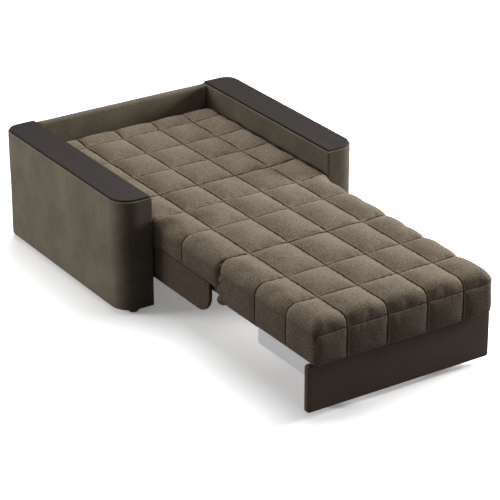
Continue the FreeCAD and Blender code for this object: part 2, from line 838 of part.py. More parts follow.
pivot_ear_corners = rectangle((pivot_y - D.ear_width / 2, frame_bottom),
                              (pivot_y + D.ear_width / 2, pivot_height + D.ear_width / 2))
pivot_ear_plate = plate("pivot_ear_plate", "YZ_Plane", pivot_ear_corners, D.plate_thickness, ear_x,
                        [((pivot_y, pivot_height), D.pin_radius)])
pivot_ear_strap = box("pivot_ear_strap",
                      (rear_frame_half, pivot_y - D.ear_width / 2, frame_bottom),
                      (ear_x, pivot_y + D.ear_width / 2, frame_bottom + D.plate_thickness))
node(pair("pivot_ear_pair", fuse("pivot_ear", [pivot_ear_plate, pivot_ear_strap])), "rear_pivot_ears")


def fold_ear(name, start, weld_near, side, hole):
    """An ear under a frame tube, down to the fold axis. Side is 1 behind the axis."""
    weld_far = weld_near + D.fold_ear_weld * side
    heel = fold_y + D.fold_ear_heel * side
    low = D.fold_height - D.boss_radius
    corners = [
        (fold_y, low),
        (heel, low),
        (weld_far, frame_bottom),
        (weld_near, frame_bottom),
        (fold_y - (weld_near - fold_y) * (D.boss_radius / D.frame_setback), D.fold_height + D.boss_radius),
        (fold_y - (weld_near - fold_y) * (D.boss_radius / D.frame_setback), D.fold_height),
    ]
    return plate(name, "YZ_Plane", corners, D.plate_thickness, start, [((fold_y, D.fold_height), hole)])


running_hole = D.pin_radius + D.running_gap
rear_fold_ear = fold_ear("rear_fold_ear", rest_ear_x, rear_frame_front, 1, running_hole)
node(pair("rear_fold_ear_pair", rear_fold_ear), "rear_fold_ears")

# Middle section
middle_front_end = (roll_y + D.roll_gap).value
middle_seams = [(fold_y - D.row_pitch * step).value for step in (1, 2)]
middle_slots = ear_slots(middle_front_end - 1, middle_front_end + D.ear_slot_depth.value, underside.value - 1)
middle_rear_end = (fold_y - D.butt_gap).value
mattress("middle", middle_rear_end, "butt", middle_seams, middle_front_end, "roll", underside.value,
         middle_slots)
middle_frame_rear = fold_y - D.frame_setback
middle_frame_front = roll_y + D.frame_setback
steel_frame("middle_frame", middle_frame_half, middle_frame_front, middle_frame_rear, frame_bottom)
slats("middle", middle_frame_half, middle_frame_front, middle_frame_rear, frame_bottom)
middle_ear_x = rest_ear_x + D.plate_thickness + D.plate_gap
middle_fold_ear = fold_ear("middle_fold_ear", middle_ear_x, middle_frame_rear, -1, D.pin_radius)
node(pair("middle_fold_ear_pair", middle_fold_ear), "middle_fold_ears")
pin_reach = D.plate_thickness * 2 + D.plate_gap * 3
fold_pin_start = (rest_ear_x - D.plate_gap, fold_y, D.fold_height)
fold_pin = rod("fold_pin", D.pin_radius, fold_pin_start, pin_reach, outward)
node(pair("fold_pin_pair", fold_pin), "fold_pins")


def seat_ear(name, start, side, bottom, hole):
    """An upright ear on the end tube of a frame, up to the seat joint. Side is 1 behind the joint."""
    weld = roll_y + D.frame_setback * side
    lip = roll_y - D.plate_gap * 2 * side
    near_edge = roll_y - D.boss_radius * side
    far_edge = roll_y + D.boss_radius * side
    neck = pivot_height - D.boss_radius * 2
    corners = [
        (lip, bottom),
        (weld, bottom),
        (weld, neck),
        (far_edge, pivot_height - D.boss_radius / 2),
        (far_edge, pivot_height + D.boss_radius / 2),
        (roll_y + D.boss_radius / 2 * side, pivot_height + D.boss_radius),
        (roll_y - D.boss_radius / 2 * side, pivot_height + D.boss_radius),
        (near_edge, pivot_height + D.boss_radius / 2),
        (near_edge, pivot_height - D.boss_radius / 2),
        (lip, neck),
    ]
    return plate(name, "YZ_Plane", corners, D.plate_thickness, start, [((roll_y, pivot_height), hole)])


middle_seat_ear = seat_ear("middle_seat_ear", seat_ear_x, 1, frame_bottom, running_hole)
node(pair("middle_seat_ear_pair", middle_seat_ear), "middle_seat_ears")

# Side panels of the middle section: a board in a fabric cover
panel_outer = middle_frame_half + D.panel_board + D.panel_cover * 2
panel_nose = roll_y + D.panel_end
panel_tail = panel_nose + D.panel_length
panel_low = underside - D.panel_drop


def side_panel(name, low_x, high_x, inset):
    """A side panel between two faces, with its two lower corners rounded."""
    nose = panel_nose + inset
    tail = panel_tail - inset
    low = panel_low + inset
    high = frame_top - inset
    body = plate(name, "YZ_Plane", rectangle((nose, low), (tail, high)), as_size(high_x) - low_x, low_x)
    for along, radius in ((nose, D.panel_front_corner), (tail, D.panel_rear_corner)):
        round_edges(body, radius - inset, crossing_at(along, low))
    return body


panel_outside = side_panel("side_panel_outside", middle_frame_half, panel_outer, as_size(0))
panel_board = side_panel("side_panel_core", middle_frame_half + D.panel_cover, panel_outer - D.panel_cover,
                         D.panel_cover)
right_side_cover = node(cut("side_panel_shell", panel_outside, panel_board), "right_side_panel_cover")
node(mirrored("left_side_panel_cover_mirror", right_side_cover), "left_side_panel_cover")
node(panel_board, "right_side_panel_board")
node(mirrored("left_side_panel_board_mirror", panel_board), "left_side_panel_board")

# Seat section
seat_rear_end = (roll_y - D.roll_gap).value
seat_seams = [(seat_front + D.row_pitch * step).value for step in (2, 1)]
seat_slots = ear_slots(seat_rear_end - D.ear_slot_depth.value, seat_rear_end + 1, seat_underside.value - 1)
seat_nose = seat_front.value
mattress("seat", seat_rear_end, "roll", seat_seams, seat_nose, "nose", seat_underside.value, seat_slots)
seat_frame_rear = roll_y - D.frame_setback
steel_frame("seat_frame", seat_frame_half, panel_back, seat_frame_rear, seat_frame_bottom)
slats("seat", seat_frame_half, panel_back, seat_frame_rear, seat_frame_bottom)
front_ear_x = seat_ear_x + D.plate_thickness + D.plate_gap
front_ear = seat_ear("seat_ear", front_ear_x, -1, seat_frame_bottom, D.pin_radius)
node(pair("seat_ear_pair", front_ear), "seat_ears")
seat_pin_start = (seat_ear_x - D.plate_gap, roll_y, pivot_height)
seat_pin = rod("seat_pin", D.pin_radius, seat_pin_start, pin_reach, outward)
node(pair("seat_pin_pair", seat_pin), "seat_pins")

# Linen box under the seat
box_rear = panel_back + D.box_length
box_top = seat_frame_top - D.front_gap
box_outer = seat_frame_half + D.box_board
right_box_side = node(box("right_box_board", (seat_frame_half, panel_back, D.box_bottom_height),
                          (box_outer, box_rear, box_top)), "right_linen_box_side")
node(mirrored("left_linen_box_side_mirror", right_box_side), "left_linen_box_side")
node(box("box_rear_board", (-seat_frame_half, box_rear - D.box_board, D.box_bottom_height),
         (seat_frame_half, box_rear, seat_frame_bottom)), "linen_box_rear")
node(box("box_floor_board", (-seat_frame_half, panel_back, D.box_bottom_height),
         (seat_frame_half, box_rear - D.box_board, D.box_bottom_height + D.box_floor)), "linen_box_floor")

# Front panel: a board in a fabric cover
panel_half = arm_inner - D.front_side_gap
panel_top = seat_underside - D.front_gap


def front_block(name, inset):
    """The front panel, with rounded corners, inset from its faces."""
    low = D.front_bottom + inset
    high = panel_top - inset
    front = panel_front + inset
    side = panel_half - inset
    corners = rectangle((-side, low), (side, high))
    body = plate(name, "XZ_Plane", corners, panel_back - inset - front, panel_back - inset)
    return round_edges(body, D.front_corner_round - inset, lambda edge: near(edge.BoundBox.XLength, 0)
                       and near(edge.BoundBox.ZLength, 0))


front_outside = front_block("front_panel_outside", as_size(0))
round_edges(front_outside, D.front_edge, lambda edge: near(edge.BoundBox.YMin, -panel_thick)
            and near(edge.BoundBox.YLength, 0))
front_core = front_block("front_core", D.front_cover)
node(cut("front_panel_shell", front_outside, front_core), "front_panel_cover")
node(front_core, "front_panel_board")

# Rollers in brackets behind the front panel
roller_y = panel_back + D.roller_setback
roller_half = D.roller_width / 2
cheek_in = D.roller_place - roller_half - D.roller_side_gap
cheek_out = D.roller_place + roller_half + D.roller_side_gap
cheek_low = D.roller_radius - D.axle_head
bracket_top = cheek_low + D.bracket_plate_height
bracket_low = D.front_bottom + D.front_edge
bracket_back = box("roller_bracket_plate",
                   (cheek_in - D.cheek_thickness, panel_back, bracket_low),
                   (cheek_out + D.cheek_thickness, panel_back + D.cheek_thickness, bracket_top))


def cheek(name, start):
    """One side of a roller bracket, with the axle hole."""
    corners = [
        (panel_back, bracket_low),
        (roller_y, cheek_low),
        (roller_y + D.axle_head, D.roller_radius),
        (roller_y + D.axle_head, D.roller_radius + D.axle_head),
        (panel_back + D.cheek_thickness, bracket_top),
        (panel_back, bracket_top),
    ]
    return plate(name, "YZ_Plane", corners, D.cheek_thickness, start,
                 [((roller_y, D.roller_radius), D.axle_radius)])


cheek_inner = cheek("roller_cheek_inner", cheek_in - D.cheek_thickness)
cheek_outer = cheek("roller_cheek_outer", cheek_out)
roller_bracket = fuse("roller_bracket", [bracket_back, cheek_inner, cheek_outer])
node(pair("roller_bracket_pair", roller_bracket), "roller_brackets")
axle_start = cheek_in - D.cheek_thickness
axle_length = cheek_out + D.cheek_thickness * 2 - axle_start
axle = screw("roller_axle", (axle_start, roller_y, D.roller_radius), axle_length, outward, D.axle_radius,
             D.axle_head, D.cheek_thickness)
node(pair("roller_axle_pair", axle), "roller_axles")

roller_outline = [
    (D.axle_radius + D.running_gap, -roller_half),
    (D.roller_radius - D.roller_edge, -roller_half),
    (D.roller_radius, D.roller_edge - roller_half),
    (D.roller_radius, roller_half - D.roller_edge),
    (D.roller_radius - D.roller_edge, roller_half),
    (D.axle_radius + D.running_gap, roller_half),
]
right_roller = turned("roller_wheel", roller_outline, (D.roller_place, roller_y, D.roller_radius))
right_roller.Placement = FreeCAD.Placement(right_roller.Placement.Base, Rotation(Vector(0, 0, 1), outward))
node(right_roller, "right_roller")
node(mirrored("left_roller_mirror", right_roller), "left_roller")

doc.recompute()
faults = [item.Name for item in doc.Objects if "Invalid" in item.State or "Error" in item.State]
faults += [item.Label for item in parts if item.Shape.isNull() or not item.Shape.isValid()]
if faults:
    raise RuntimeError("these pieces failed: " + ", ".join(faults))

os.makedirs("parts", exist_ok=True)
for item in parts:
    item.Shape.exportStep("parts/%s.step" % item.Label)
    solids = len(item.Shape.Solids)
    volume = sum(solid.Volume for solid in item.Shape.Solids) / 1000
    print("%-28s %2d solids %10.1f cm3" % (item.Label, solids, volume))
print("fold axes, y and z: rear %.1f %.1f, middle %.1f %.1f, seat %.1f %.1f" % (
    pivot_y.value, pivot_height.value, fold_y.value, D.fold_height.value, roll_y.value, pivot_height.value))
print("roller axis %.1f %.1f" % (roller_y.value, D.roller_radius.value))
print("overall length %.1f" % overall_length.value)
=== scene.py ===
"""Convertible chair bed: upholstery, finishes and studio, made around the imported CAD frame.

Run as a script in Blender 4.5. Plain lengths in this file are millimetres; M turns them to metres.
The floor is z = 0, the seat faces -Y, and the bed lies unfolded along Y.
"""
import json
import math
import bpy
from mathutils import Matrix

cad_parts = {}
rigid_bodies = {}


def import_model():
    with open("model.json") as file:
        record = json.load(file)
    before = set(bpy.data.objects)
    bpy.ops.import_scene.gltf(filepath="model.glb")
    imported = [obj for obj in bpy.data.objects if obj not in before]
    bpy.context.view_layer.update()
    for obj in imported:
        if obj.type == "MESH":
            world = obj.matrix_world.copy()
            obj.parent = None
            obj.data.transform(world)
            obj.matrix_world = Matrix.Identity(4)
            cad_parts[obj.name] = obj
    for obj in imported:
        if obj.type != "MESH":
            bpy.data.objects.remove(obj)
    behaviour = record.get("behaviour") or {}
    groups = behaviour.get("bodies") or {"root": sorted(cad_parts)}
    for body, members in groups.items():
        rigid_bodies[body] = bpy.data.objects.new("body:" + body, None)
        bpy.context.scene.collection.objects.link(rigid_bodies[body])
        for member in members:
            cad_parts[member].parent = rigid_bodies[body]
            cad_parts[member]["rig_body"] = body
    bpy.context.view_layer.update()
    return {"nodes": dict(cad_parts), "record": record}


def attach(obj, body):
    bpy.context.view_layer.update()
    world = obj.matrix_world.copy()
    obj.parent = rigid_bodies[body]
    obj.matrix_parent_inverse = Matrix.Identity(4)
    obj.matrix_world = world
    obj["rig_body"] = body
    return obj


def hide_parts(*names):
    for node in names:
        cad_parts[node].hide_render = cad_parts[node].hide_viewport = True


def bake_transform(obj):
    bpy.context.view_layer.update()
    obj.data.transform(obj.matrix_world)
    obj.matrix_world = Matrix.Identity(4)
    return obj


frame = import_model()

from types import SimpleNamespace

import bpy
import numpy as np
from bpy.props import FloatProperty, FloatVectorProperty, IntProperty, PointerProperty
from mathutils import Matrix, Vector, noise

bl_info = {
    "name": "Convertible chair bed",
    "version": (1, 0, 0),
    "blender": (4, 5, 0),
    "location": "3D View > Sidebar > Chair bed",
    "description": "Dresses the frame of a convertible chair bed",
    "category": "Object",
}

M = 0.001
SLOT_OF = {part["node"]: part["material_slot"] for part in frame["record"]["subparts"]}

# Faces of the covers of the arms and the back: across, along and up.
ARM_INNER, ARM_OUTER = 410.0, 556.0
ARM_FRONT, BACK_FACE, BED_REAR = 67.0, 981.0, 1019.0
COVER_LOW, COVER_HIGH = 18.0, 476.0
# The lengthwise seams stand at the same places on all three mattress sections, where the
# photograph shows them: the cover has crept a little towards the left arm.
LONG_SEAMS = (-256.0, -79.0, 98.0, 261.0)
SEAM_LEVEL = 379.0
# Half the width of the mattress cover before it swells.
HALF_WIDTH = 392.0
# The distance to a seam that isn't there.
FAR = 999.0
# A square has risen fully at these distances from a seam, across and along the bed.
HALF_COLUMN, HALF_ROW = 86.35, 97.5
# The front edge has a seam of its own, this far below the other seams.
FRONT_SEAM_DROP = 40.0
# Steel ears hinge the seat to the middle section: their place to each side and their top.
EAR_PLACE, EAR_TOP = 259.05, 359.0
# Each end: how far its upper edge is rounded along the bed and downwards, how far the end stands
# in from the plan's length, how far its face swells, and the radius of its corners in plan. A
# back end also has the two roundings of its lower edge.
ENDS = {
    "swing": {"upper": (57, 46), "lower": (59, 74), "inset": 4, "swell": 2, "corner": 9},
    "butt": {"upper": (6, 6), "lower": (7, 10), "inset": 0, "swell": 0, "corner": 5},
    "fold": {"upper": (8, 7), "lower": (7, 10), "inset": 0, "swell": 0, "corner": 22},
    "front": {"upper": (46, 46), "inset": 8, "swell": 8, "corner": 12},
}
FRONT_LOWER_EDGE = (9, 12)
SECTIONS = {
    "rear": {
        "back": 978.0, "front": 270.6, "under": 258.0, "hem_edge": (5, 6),
        "back_end": "swing", "front_end": "butt", "rows": (857.0, 666.0, 474.0, 270.5),
    },
    "middle": {
        "back": 270.4, "front": -377.9, "under": 258.0, "hem_edge": (5, 6),
        "back_end": "butt", "front_end": "fold", "rows": (270.5, 77.0, -118.0, -378.0),
    },
    "seat": {
        "back": -378.1, "front": -1019.0, "under": 212.0, "hem_edge": (9, 12),
        "back_end": "fold", "front_end": "front", "rows": (-378.0, -623.0, -823.0),
    },
}
# The two sections that fold at the seat bend together between these two places, in metres.
FOLD_BEND = ((0.0, -0.308, 0.345), (0.0, -0.448, 0.345))
# The cover while its filling presses on it.
CLOTH = {
    "quality": 4, "mass": 0.3, "tension_stiffness": 12, "compression_stiffness": 12,
    "shear_stiffness": 5, "bending_stiffness": 0.6, "use_pressure": True,
    "vertex_group_mass": "held", "shrink_min": -0.012,
}
# Upholstered panels: two opposite corners and the corner radii of the outline, the two faces,
# the rounding of the edges and how far the faces are crowned.
SIDE_PANEL = {
    "low": (-319, 128), "high": (141, 266), "radii": (80, 30, 3, 3), "faces": (398, 382),
    "edge": 4, "crown": 0.8,
}
FRONT_PANEL = {
    "low": (-408, 22), "high": (408, 211), "radii": (12, 12, 12, 12), "faces": (-963, -987),
    "edge": 5, "crown": 1.0,
}
# The camera as solved from the photograph's straight edges: its azimuth, height and roll in
# degrees, the point that it looks at and its distance.
CAMERA_ANGLES = (-33.011, 24.959, 0.177)
CAMERA_TARGET, CAMERA_DISTANCE = (-32.012, -37.549, 200.0), 8750.159


def linear(colour):
    """An sRGB hex colour as linear red, green, blue and alpha; any other colour as it is."""
    if not isinstance(colour, str):
        return colour
    parts = [int(colour[i : i + 2], 16) / 255 for i in (0, 2, 4)]
    return tuple(c / 12.92 if c <= 0.04045 else ((c + 0.055) / 1.055) ** 2.4 for c in parts) + (1.0,)


def colour_prop(name, description, code):
    return FloatVectorProperty(
        name=name, description=description, subtype="COLOR", size=4, min=0, max=1, default=linear(code)
    )


def length_prop(name, description, millimetres):
    return FloatProperty(
        name=name, description=description, subtype="DISTANCE", unit="LENGTH", default=millimetres * M
    )


class ChairBedSizes(bpy.types.PropertyGroup):
    tuft_height: length_prop("Tuft height", "How far a quilted square stands above its seams", 15)
    side_swell: length_prop("Side swell", "How far the blocks on a mattress side stand out", 8)
    seam_depth: length_prop("Seam depth", "How deep the sewn groove is", 5)
    seam_width: length_prop("Seam width", "Half width of the sewn groove", 2.4)
    pucker: length_prop("Pucker", "Height of the small folds that run off a seam", 1.4)
    grid_step: length_prop("Grid step", "Spacing of the mattress mesh before it is subdivided", 12)
    cloth_give: length_prop("Cloth give", "The furthest that the simulation may move the cover", 24)
    stitch_pitch: length_prop("Stitch pitch", "Distance from one stitch to the next", 6)
    stitch_length: length_prop("Stitch length", "Length of one stitch", 4.2)
    thread: length_prop("Thread", "Thickness of the sewing thread", 0.9)
    pressure: FloatProperty(
        name="Filling pressure", description="Pressure of the filling on the cover", default=4.0, min=0
    )
    cloth_frames: IntProperty(
        name="Cloth frames", description="Frames that the simulation runs for", default=20, min=2
    )


class ChairBedColours(bpy.types.PropertyGroup):
    velour: colour_prop("Velour", "Mattress pile seen from above", "6b5f50")
    # Painted shade: the colour that upright mattress faces and side panels are darkened towards.
    velour_painted_shade: colour_prop("Velour, painted shade", "Mattress pile on upright faces", "46382d")
    suede: colour_prop("Microsuede", "Arms and back", "6f6858")
    # Painted shade: the colour that the arms' fronts and inner faces and the back's top and front are
    # darkened towards.
    suede_painted_shade: colour_prop("Microsuede, painted shade", "Painted shade on the fronts of the arms and back", "443b30")
    # Painted shade: the front panel is the arms' microsuede, coloured darker because it faces away from
    # the lamps.
    front: colour_prop("Front panel", "Microsuede in painted shade of the front panel", "54463c")
    wenge: colour_prop("Wenge", "Stained boards on the arms", "2b2522")
    laminate: colour_prop("Laminate", "Boards of the linen box", "eceaee")


class ChairBedStage(bpy.types.PropertyGroup):
    lens: FloatProperty(name="Lens", description="Focal length", default=160.626, unit="CAMERA")
    top_light: FloatProperty(name="Top light", description="Power", default=320, unit="POWER")
    side_light: FloatProperty(name="Left light", description="Power", default=175, unit="POWER")
    rim_light: FloatProperty(name="Right light", description="Power", default=360, unit="POWER")
    room_light: FloatProperty(name="Room light", description="Strength of the world", default=0.115)


def feed(tree, node, inputs):
    """Give a node's sockets their values: numbers, colours or other nodes' outputs."""
    for key, value in inputs.items():
        if isinstance(value, bpy.types.NodeSocket):
            tree.links.new(value, node.inputs[key])
        else:
            node.inputs[key].default_value = value


def add(tree, kind, inputs=None, **settings):
    """Add a node with its settings and its sockets' values."""
    node = tree.nodes.new(kind)
    for name, value in settings.items():
        setattr(node, name, value)
    feed(tree, node, inputs or {})
    return node


def new_material(name, **shader):
    """A material with one Principled shader whose constants are set on its own sockets."""
    material = bpy.data.materials.new(name)
    material.use_nodes = True
    tree = material.node_tree
    tree.nodes.clear()
    body = add(tree, "ShaderNodeBsdfPrincipled", {k.replace("_", " "): v for k, v in shader.items()})
    add(tree, "ShaderNodeOutputMaterial", {"Surface": body.outputs[0]})
    return material, tree, body


def grey(value):
    return (value, value, value, 1.0)


def mixed(tree, factor, first, second, kind="MIX"):
    """The colour output of a Mix node."""
    inputs = {0: factor, 6: first, 7: second}
    return add(tree, "ShaderNodeMix", inputs, data_type="RGBA", blend_type=kind).outputs[2]


def ramp(tree, factor, first, second):
    """The colour output of a ramp between two stops, each a position and a colour."""
    node = add(tree, "ShaderNodeValToRGB", {"Fac": factor})
    for mark, (position, colour) in zip(node.color_ramp.elements, (first, second)):
        mark.position = position
        mark.color = colour
    return node.outputs["Color"]


def cloudy(tree, vector, scale, detail, distortion=0.0):
    """The strength of a noise texture."""
    inputs = {"Vector": vector, "Scale": scale, "Detail": detail, "Distortion": distortion}
    return add(tree, "ShaderNodeTexNoise", inputs).outputs["Fac"]


def relief(tree, height, strength, distance, normal=None):
    """A bumped normal. Distance is in metres."""
    inputs = {"Height": height, "Strength": strength, "Distance": distance}
    if normal is not None:
        inputs["Normal"] = normal
    return add(tree, "ShaderNodeBump", inputs).outputs[0]


def stretched(tree, scale):
    """Plain and scaled coordinates on the piece."""
    here = add(tree, "ShaderNodeTexCoord").outputs["Object"]
    return here, add(tree, "ShaderNodeMapping", {"Vector": here, "Scale": scale}).outputs[0]


def marked(tree, label):
    """What an attribute of the mesh says, 0 where the mesh has none of that name."""
    return add(tree, "ShaderNodeAttribute", attribute_name=label).outputs["Fac"]


def pile_fabric(name, colour, shade, speck, marks, streak, sheen):
    """A napped cloth. Brush marks change the pile's lie in patches and single tufts of fibre make a
    fine speckle. Painted shade darkens the seams and the upright faces, and a painted highlight
    lightens the cloth beside a seam."""
    material, tree, body = new_material(
        name, Roughness=0.93, Sheen_Weight=sheen, Sheen_Roughness=0.45, Specular_IOR_Level=0.25
    )
    here, drawn = stretched(tree, (1, 1, streak))
    # Hand-sized patches where the pile lies another way, and brush marks about 30 mm across.
    patch = cloudy(tree, drawn, 7.0, 3.0)
    brush = cloudy(tree, drawn, 31.0, 6.0, 1.3)
    # Fibre tufts are 0.5 mm; drawn 3 mm across so that they show at arm's length.
    tuft = cloudy(tree, here, 340.0, 1.5)
    seam, painted_shade = marked(tree, "seam"), marked(tree, "painted_shade")
    # Painted shade: upright faces take the darker shade colour.
    base = mixed(tree, painted_shade, colour, shade)
    for cloud, start, deep in ((patch, 0.32, marks), (brush, 0.32, marks * 0.5), (tuft, 0.42, speck)):
        layer = ramp(tree, cloud, (start, grey(1 - deep)), (1 - start, grey(1 + deep)))
        base = mixed(tree, 1.0, base, layer, "MULTIPLY")
    # Painted highlight: the cloth beside a seam is coloured lighter. Painted shade: the seam groove is
    # coloured darker, from the shade colour.
    base = mixed(tree, marked(tree, "painted_seam_highlight"), base, [min(1, c * 1.7) for c in colour[:3]] + [1.0])
    base = mixed(tree, seam, base, [c * 0.7 for c in shade[:3]] + [1.0])
    soft = relief(tree, brush, 0.25, 0.002)
    feed(tree, body, {"Base Color": base, "Normal": relief(tree, tuft, 0.35, 0.0008, soft)})
    return material


def wood(name, light, dark, along, rough, coat, grain, pores):
    """Wood with its grain along one axis: bands of early and late wood, and open pores."""
    material, tree, body = new_material(
        name, Coat_Weight=coat, Coat_Roughness=0.3, Specular_IOR_Level=0.2
    )
    drawn = stretched(tree, [0.05 if axis == along else 1.0 for axis in range(3)])[1]
    band = cloudy(tree, drawn, grain, 7.0, 0.6)
    pore = cloudy(tree, drawn, grain * 9, 2.0)
    tone = ramp(tree, band, (0.3, linear(dark)), (0.7, linear(light)))
    holes = ramp(tree, pore, (0.3, grey(1 - pores)), (0.55, grey(1)))
    base = mixed(tree, 1.0, tone, holes, "MULTIPLY")
    gloss = ramp(tree, band, (0.3, grey(rough + 0.04)), (0.7, grey(rough - 0.02)))
    bump = relief(tree, pore, 0.12, 0.0003)
    feed(tree, body, {"Base Color": base, "Roughness": gloss, "Normal": bump})
    return material


def grained(name, light, dark, scale, rough, bump, **shader):
    """A moulded, coated, plated or pressed surface with an even fine grain."""
    material, tree, body = new_material(name, **shader)
    here = add(tree, "ShaderNodeTexCoord").outputs["Object"]
    grain = cloudy(tree, here, scale, 4.0)
    cloud = cloudy(tree, here, 9.0, 4.0)
    tone = ramp(tree, grain, (0.35, linear(dark)), (0.65, linear(light)))
    gloss = ramp(tree, cloud, (0.3, grey(rough - 0.05)), (0.7, grey(rough + 0.07)))
    push = relief(tree, grain, bump, 0.0004)
    feed(tree, body, {"Base Color": tone, "Roughness": gloss, "Normal": push})
    return material


def make_materials(colours):
    """Every finish by the name of its slot in the record."""
    return {
        # Polyester velour: soft brown-taupe pile, speckled, with painted shade on its upright faces.
        "quilted_velour": pile_fabric(
            "Polyester velour", colours.velour, colours.velour_painted_shade,
            speck=0.46, marks=0.07, streak=1.0, sheen=0.1,
        ),
        # Brushed microsuede: olive brown with cloudy, slightly upright brush marks.
        "suede": pile_fabric(
            "Brushed microsuede", colours.suede, colours.suede_painted_shade,
            speck=0.1, marks=0.15, streak=0.85, sheen=0.08,
        ),
        # The same microsuede, coloured near-black brown as painted shade.
        "front_suede": pile_fabric(
            "Microsuede in painted shade", colours.front, linear("2c221c"),
            speck=0.06, marks=0.05, streak=0.6, sheen=0.08,
        ),
        # Cut polyurethane foam: cream, open cells.
        "foam": grained("Cut polyurethane foam", "d8cfae", "b9ae88", 420, 0.9, 0.7),
        # Wenge-stained board under satin lacquer: almost black, the straight grain only just shows.
        "wenge": wood(
            "Lacquered wenge", colours.wenge, "26201e",
            along=1, rough=0.56, coat=0.03, grain=90, pores=0.05,
        ),
        # Hardboard: one smooth brown side of pressed fibre.
        "hardboard": grained("Pressed hardboard", "7a5a3d", "5d422b", 500, 0.6, 0.3),
        # Melamine laminate: pale lilac grey, half matt with a faint pearl.
        "white_laminate": grained(
            "Melamine laminate", colours.laminate, "e0dee3", 900, 0.42, 0.08, Coat_Weight=0.15
        ),
        # Moulded polypropylene: black with a spark-eroded grain.
        "black_plastic": grained("Moulded polypropylene", "1d1d1e", "131314", 900, 0.5, 0.3),
        # Thermoplastic rubber: matt black tread.
        "rubber": grained("Thermoplastic rubber", "232323", "161616", 700, 0.8, 0.35),
        # Bent birch veneer: pale, with its grain along the slat.
        "birch": wood(
            "Bent birch veneer", "dcbf92", "c49f6c", along=0, rough=0.45, coat=0.1, grain=60, pores=0.15
        ),
        # Powder-coated tube: black with a slight orange peel.
        "black_steel": grained(
            "Powder-coated steel", "1f1f21", "151516", 380, 0.42, 0.35, Coat_Weight=0.1
        ),
        # Bright zinc plate on turned steel.
        "zinc_steel": grained("Zinc-plated steel", "c3c5c7", "a2a5a8", 600, 0.32, 0.15, Metallic=1.0),
        # Planed pine: yellow, with wide growth rings.
        "pine": wood(
            "Planed pine", "d9b27a", "b98a4e", along=0, rough=0.6, coat=0.0, grain=40, pores=0.1
        ),
        # Raw chipboard: pressed flakes of mixed tone.
        "chipboard": grained("Raw chipboard", "bd9a6b", "8d6c43", 240, 0.85, 0.8),
        # Spun polyester thread, tone on tone with the cover.
        "thread": grained("Polyester thread", "6b5f50", "4c4338", 1500, 0.7, 0.3),
    }


def body_mesh(name, vertices, faces, edges=()):
    """A new object from points in metres, at the origin."""
    mesh = bpy.data.meshes.new(name)
    mesh.from_pydata([tuple(map(float, v)) for v in vertices], list(edges), faces)
    mesh.update()
    piece = bpy.data.objects.new(name, mesh)
    bpy.context.scene.collection.objects.link(piece)
    return piece


def dress(piece, node, finish=None, replaced=(), bend=None):
    """Ride and finish a piece that stands for a CAD node or is sewn to it, and hide the nodes that it
    replaces. A piece with a bend is baked in place and rides with no body."""
    slot = SLOT_OF[node]
    piece.data.materials.clear()
    piece.data.materials.append(finishes[finish or slot])
    for polygon in piece.data.polygons:
        polygon.use_smooth = True
    if bend:
        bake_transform(piece)
    else:
        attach(piece, frame["nodes"][node]["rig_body"])
    if replaced:
        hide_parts(*replaced)


def points_of(mesh):
    co = np.zeros(len(mesh.vertices) * 3)
    mesh.vertices.foreach_get("co", co)
    return co.reshape(-1, 3)


def normals_of(mesh):
    co = np.zeros(len(mesh.vertices) * 3)
    mesh.vertex_normals.foreach_get("vector", co)
    return co.reshape(-1, 3)


def set_points(mesh, points):
    mesh.vertices.foreach_set("co", np.ascontiguousarray(points, dtype=float).ravel())
    mesh.update()


def store(mesh, name, values):
    """Keep one number for each vertex, for the material or for a later step."""
    layer = mesh.attributes.get(name) or mesh.attributes.new(name, "FLOAT", "POINT")
    layer.data.foreach_set("value", np.ascontiguousarray(values, dtype=float))


def stored(mesh, name):
    values = np.zeros(len(mesh.vertices))
    mesh.attributes[name].data.foreach_get("value", values)
    return values


def wander(points, size, seed):
    """Smooth noise from -1 to 1 at each point; size is the width of its waves in millimetres."""
    shift = Vector((seed * 7.1, seed * 3.7, seed * 5.3))
    return np.array([noise.noise(Vector(p) / (size * M) + shift) for p in points])


def unit(values):
    """Values held between 0 and 1."""
    return np.clip(values, 0, 1)


def near_line(value, lines):
    """Distance to the nearest line."""
    return np.min([np.abs(value - line) for line in lines], axis=0)


def grid_lines(low, high, step, seams, inner=(2.6, 7.0)):
    """Grid places from low to high with close lines on both sides of each seam."""
    marks = {round(low, 3), round(high, 3)}
    for seam in seams:
        for gap in (-inner[1], -inner[0], 0, inner[0], inner[1]):
            if low < seam + gap < high:
                marks.add(round(seam + gap, 3))
    marks = sorted(marks)
    places = []
    for first, second in zip(marks, marks[1:]):
        count = max(1, round((second - first) / step))
        places += [first + (second - first) * i / count for i in range(count)]
    return places + [marks[-1]]


def box_grid(*lines):
    """The skin of a box with its grid places along x, y and z: quads that all face outwards."""
    index, points, faces = {}, [], []

    def at(key):
        if key not in index:
            index[key] = len(points)
            points.append(tuple(line[i] for line, i in zip(lines, key)))
        return index[key]

    def side(fixed, value, flip):
        first, second = (axis for axis in range(3) if axis != fixed)
        for a in range(len(lines[first]) - 1):
            for b in range(len(lines[second]) - 1):
                quad = []
                for da, db in ((0, 0), (1, 0), (1, 1), (0, 1)):
                    key = [value] * 3
                    key[first], key[second] = a + da, b + db
                    quad.append(at(tuple(key)))
                faces.append(quad[::-1] if flip else quad)

    for fixed, flip in ((2, True), (1, False), (0, True)):
        side(fixed, 0, flip)
        side(fixed, len(lines[fixed]) - 1, not flip)
    return np.array(points), faces


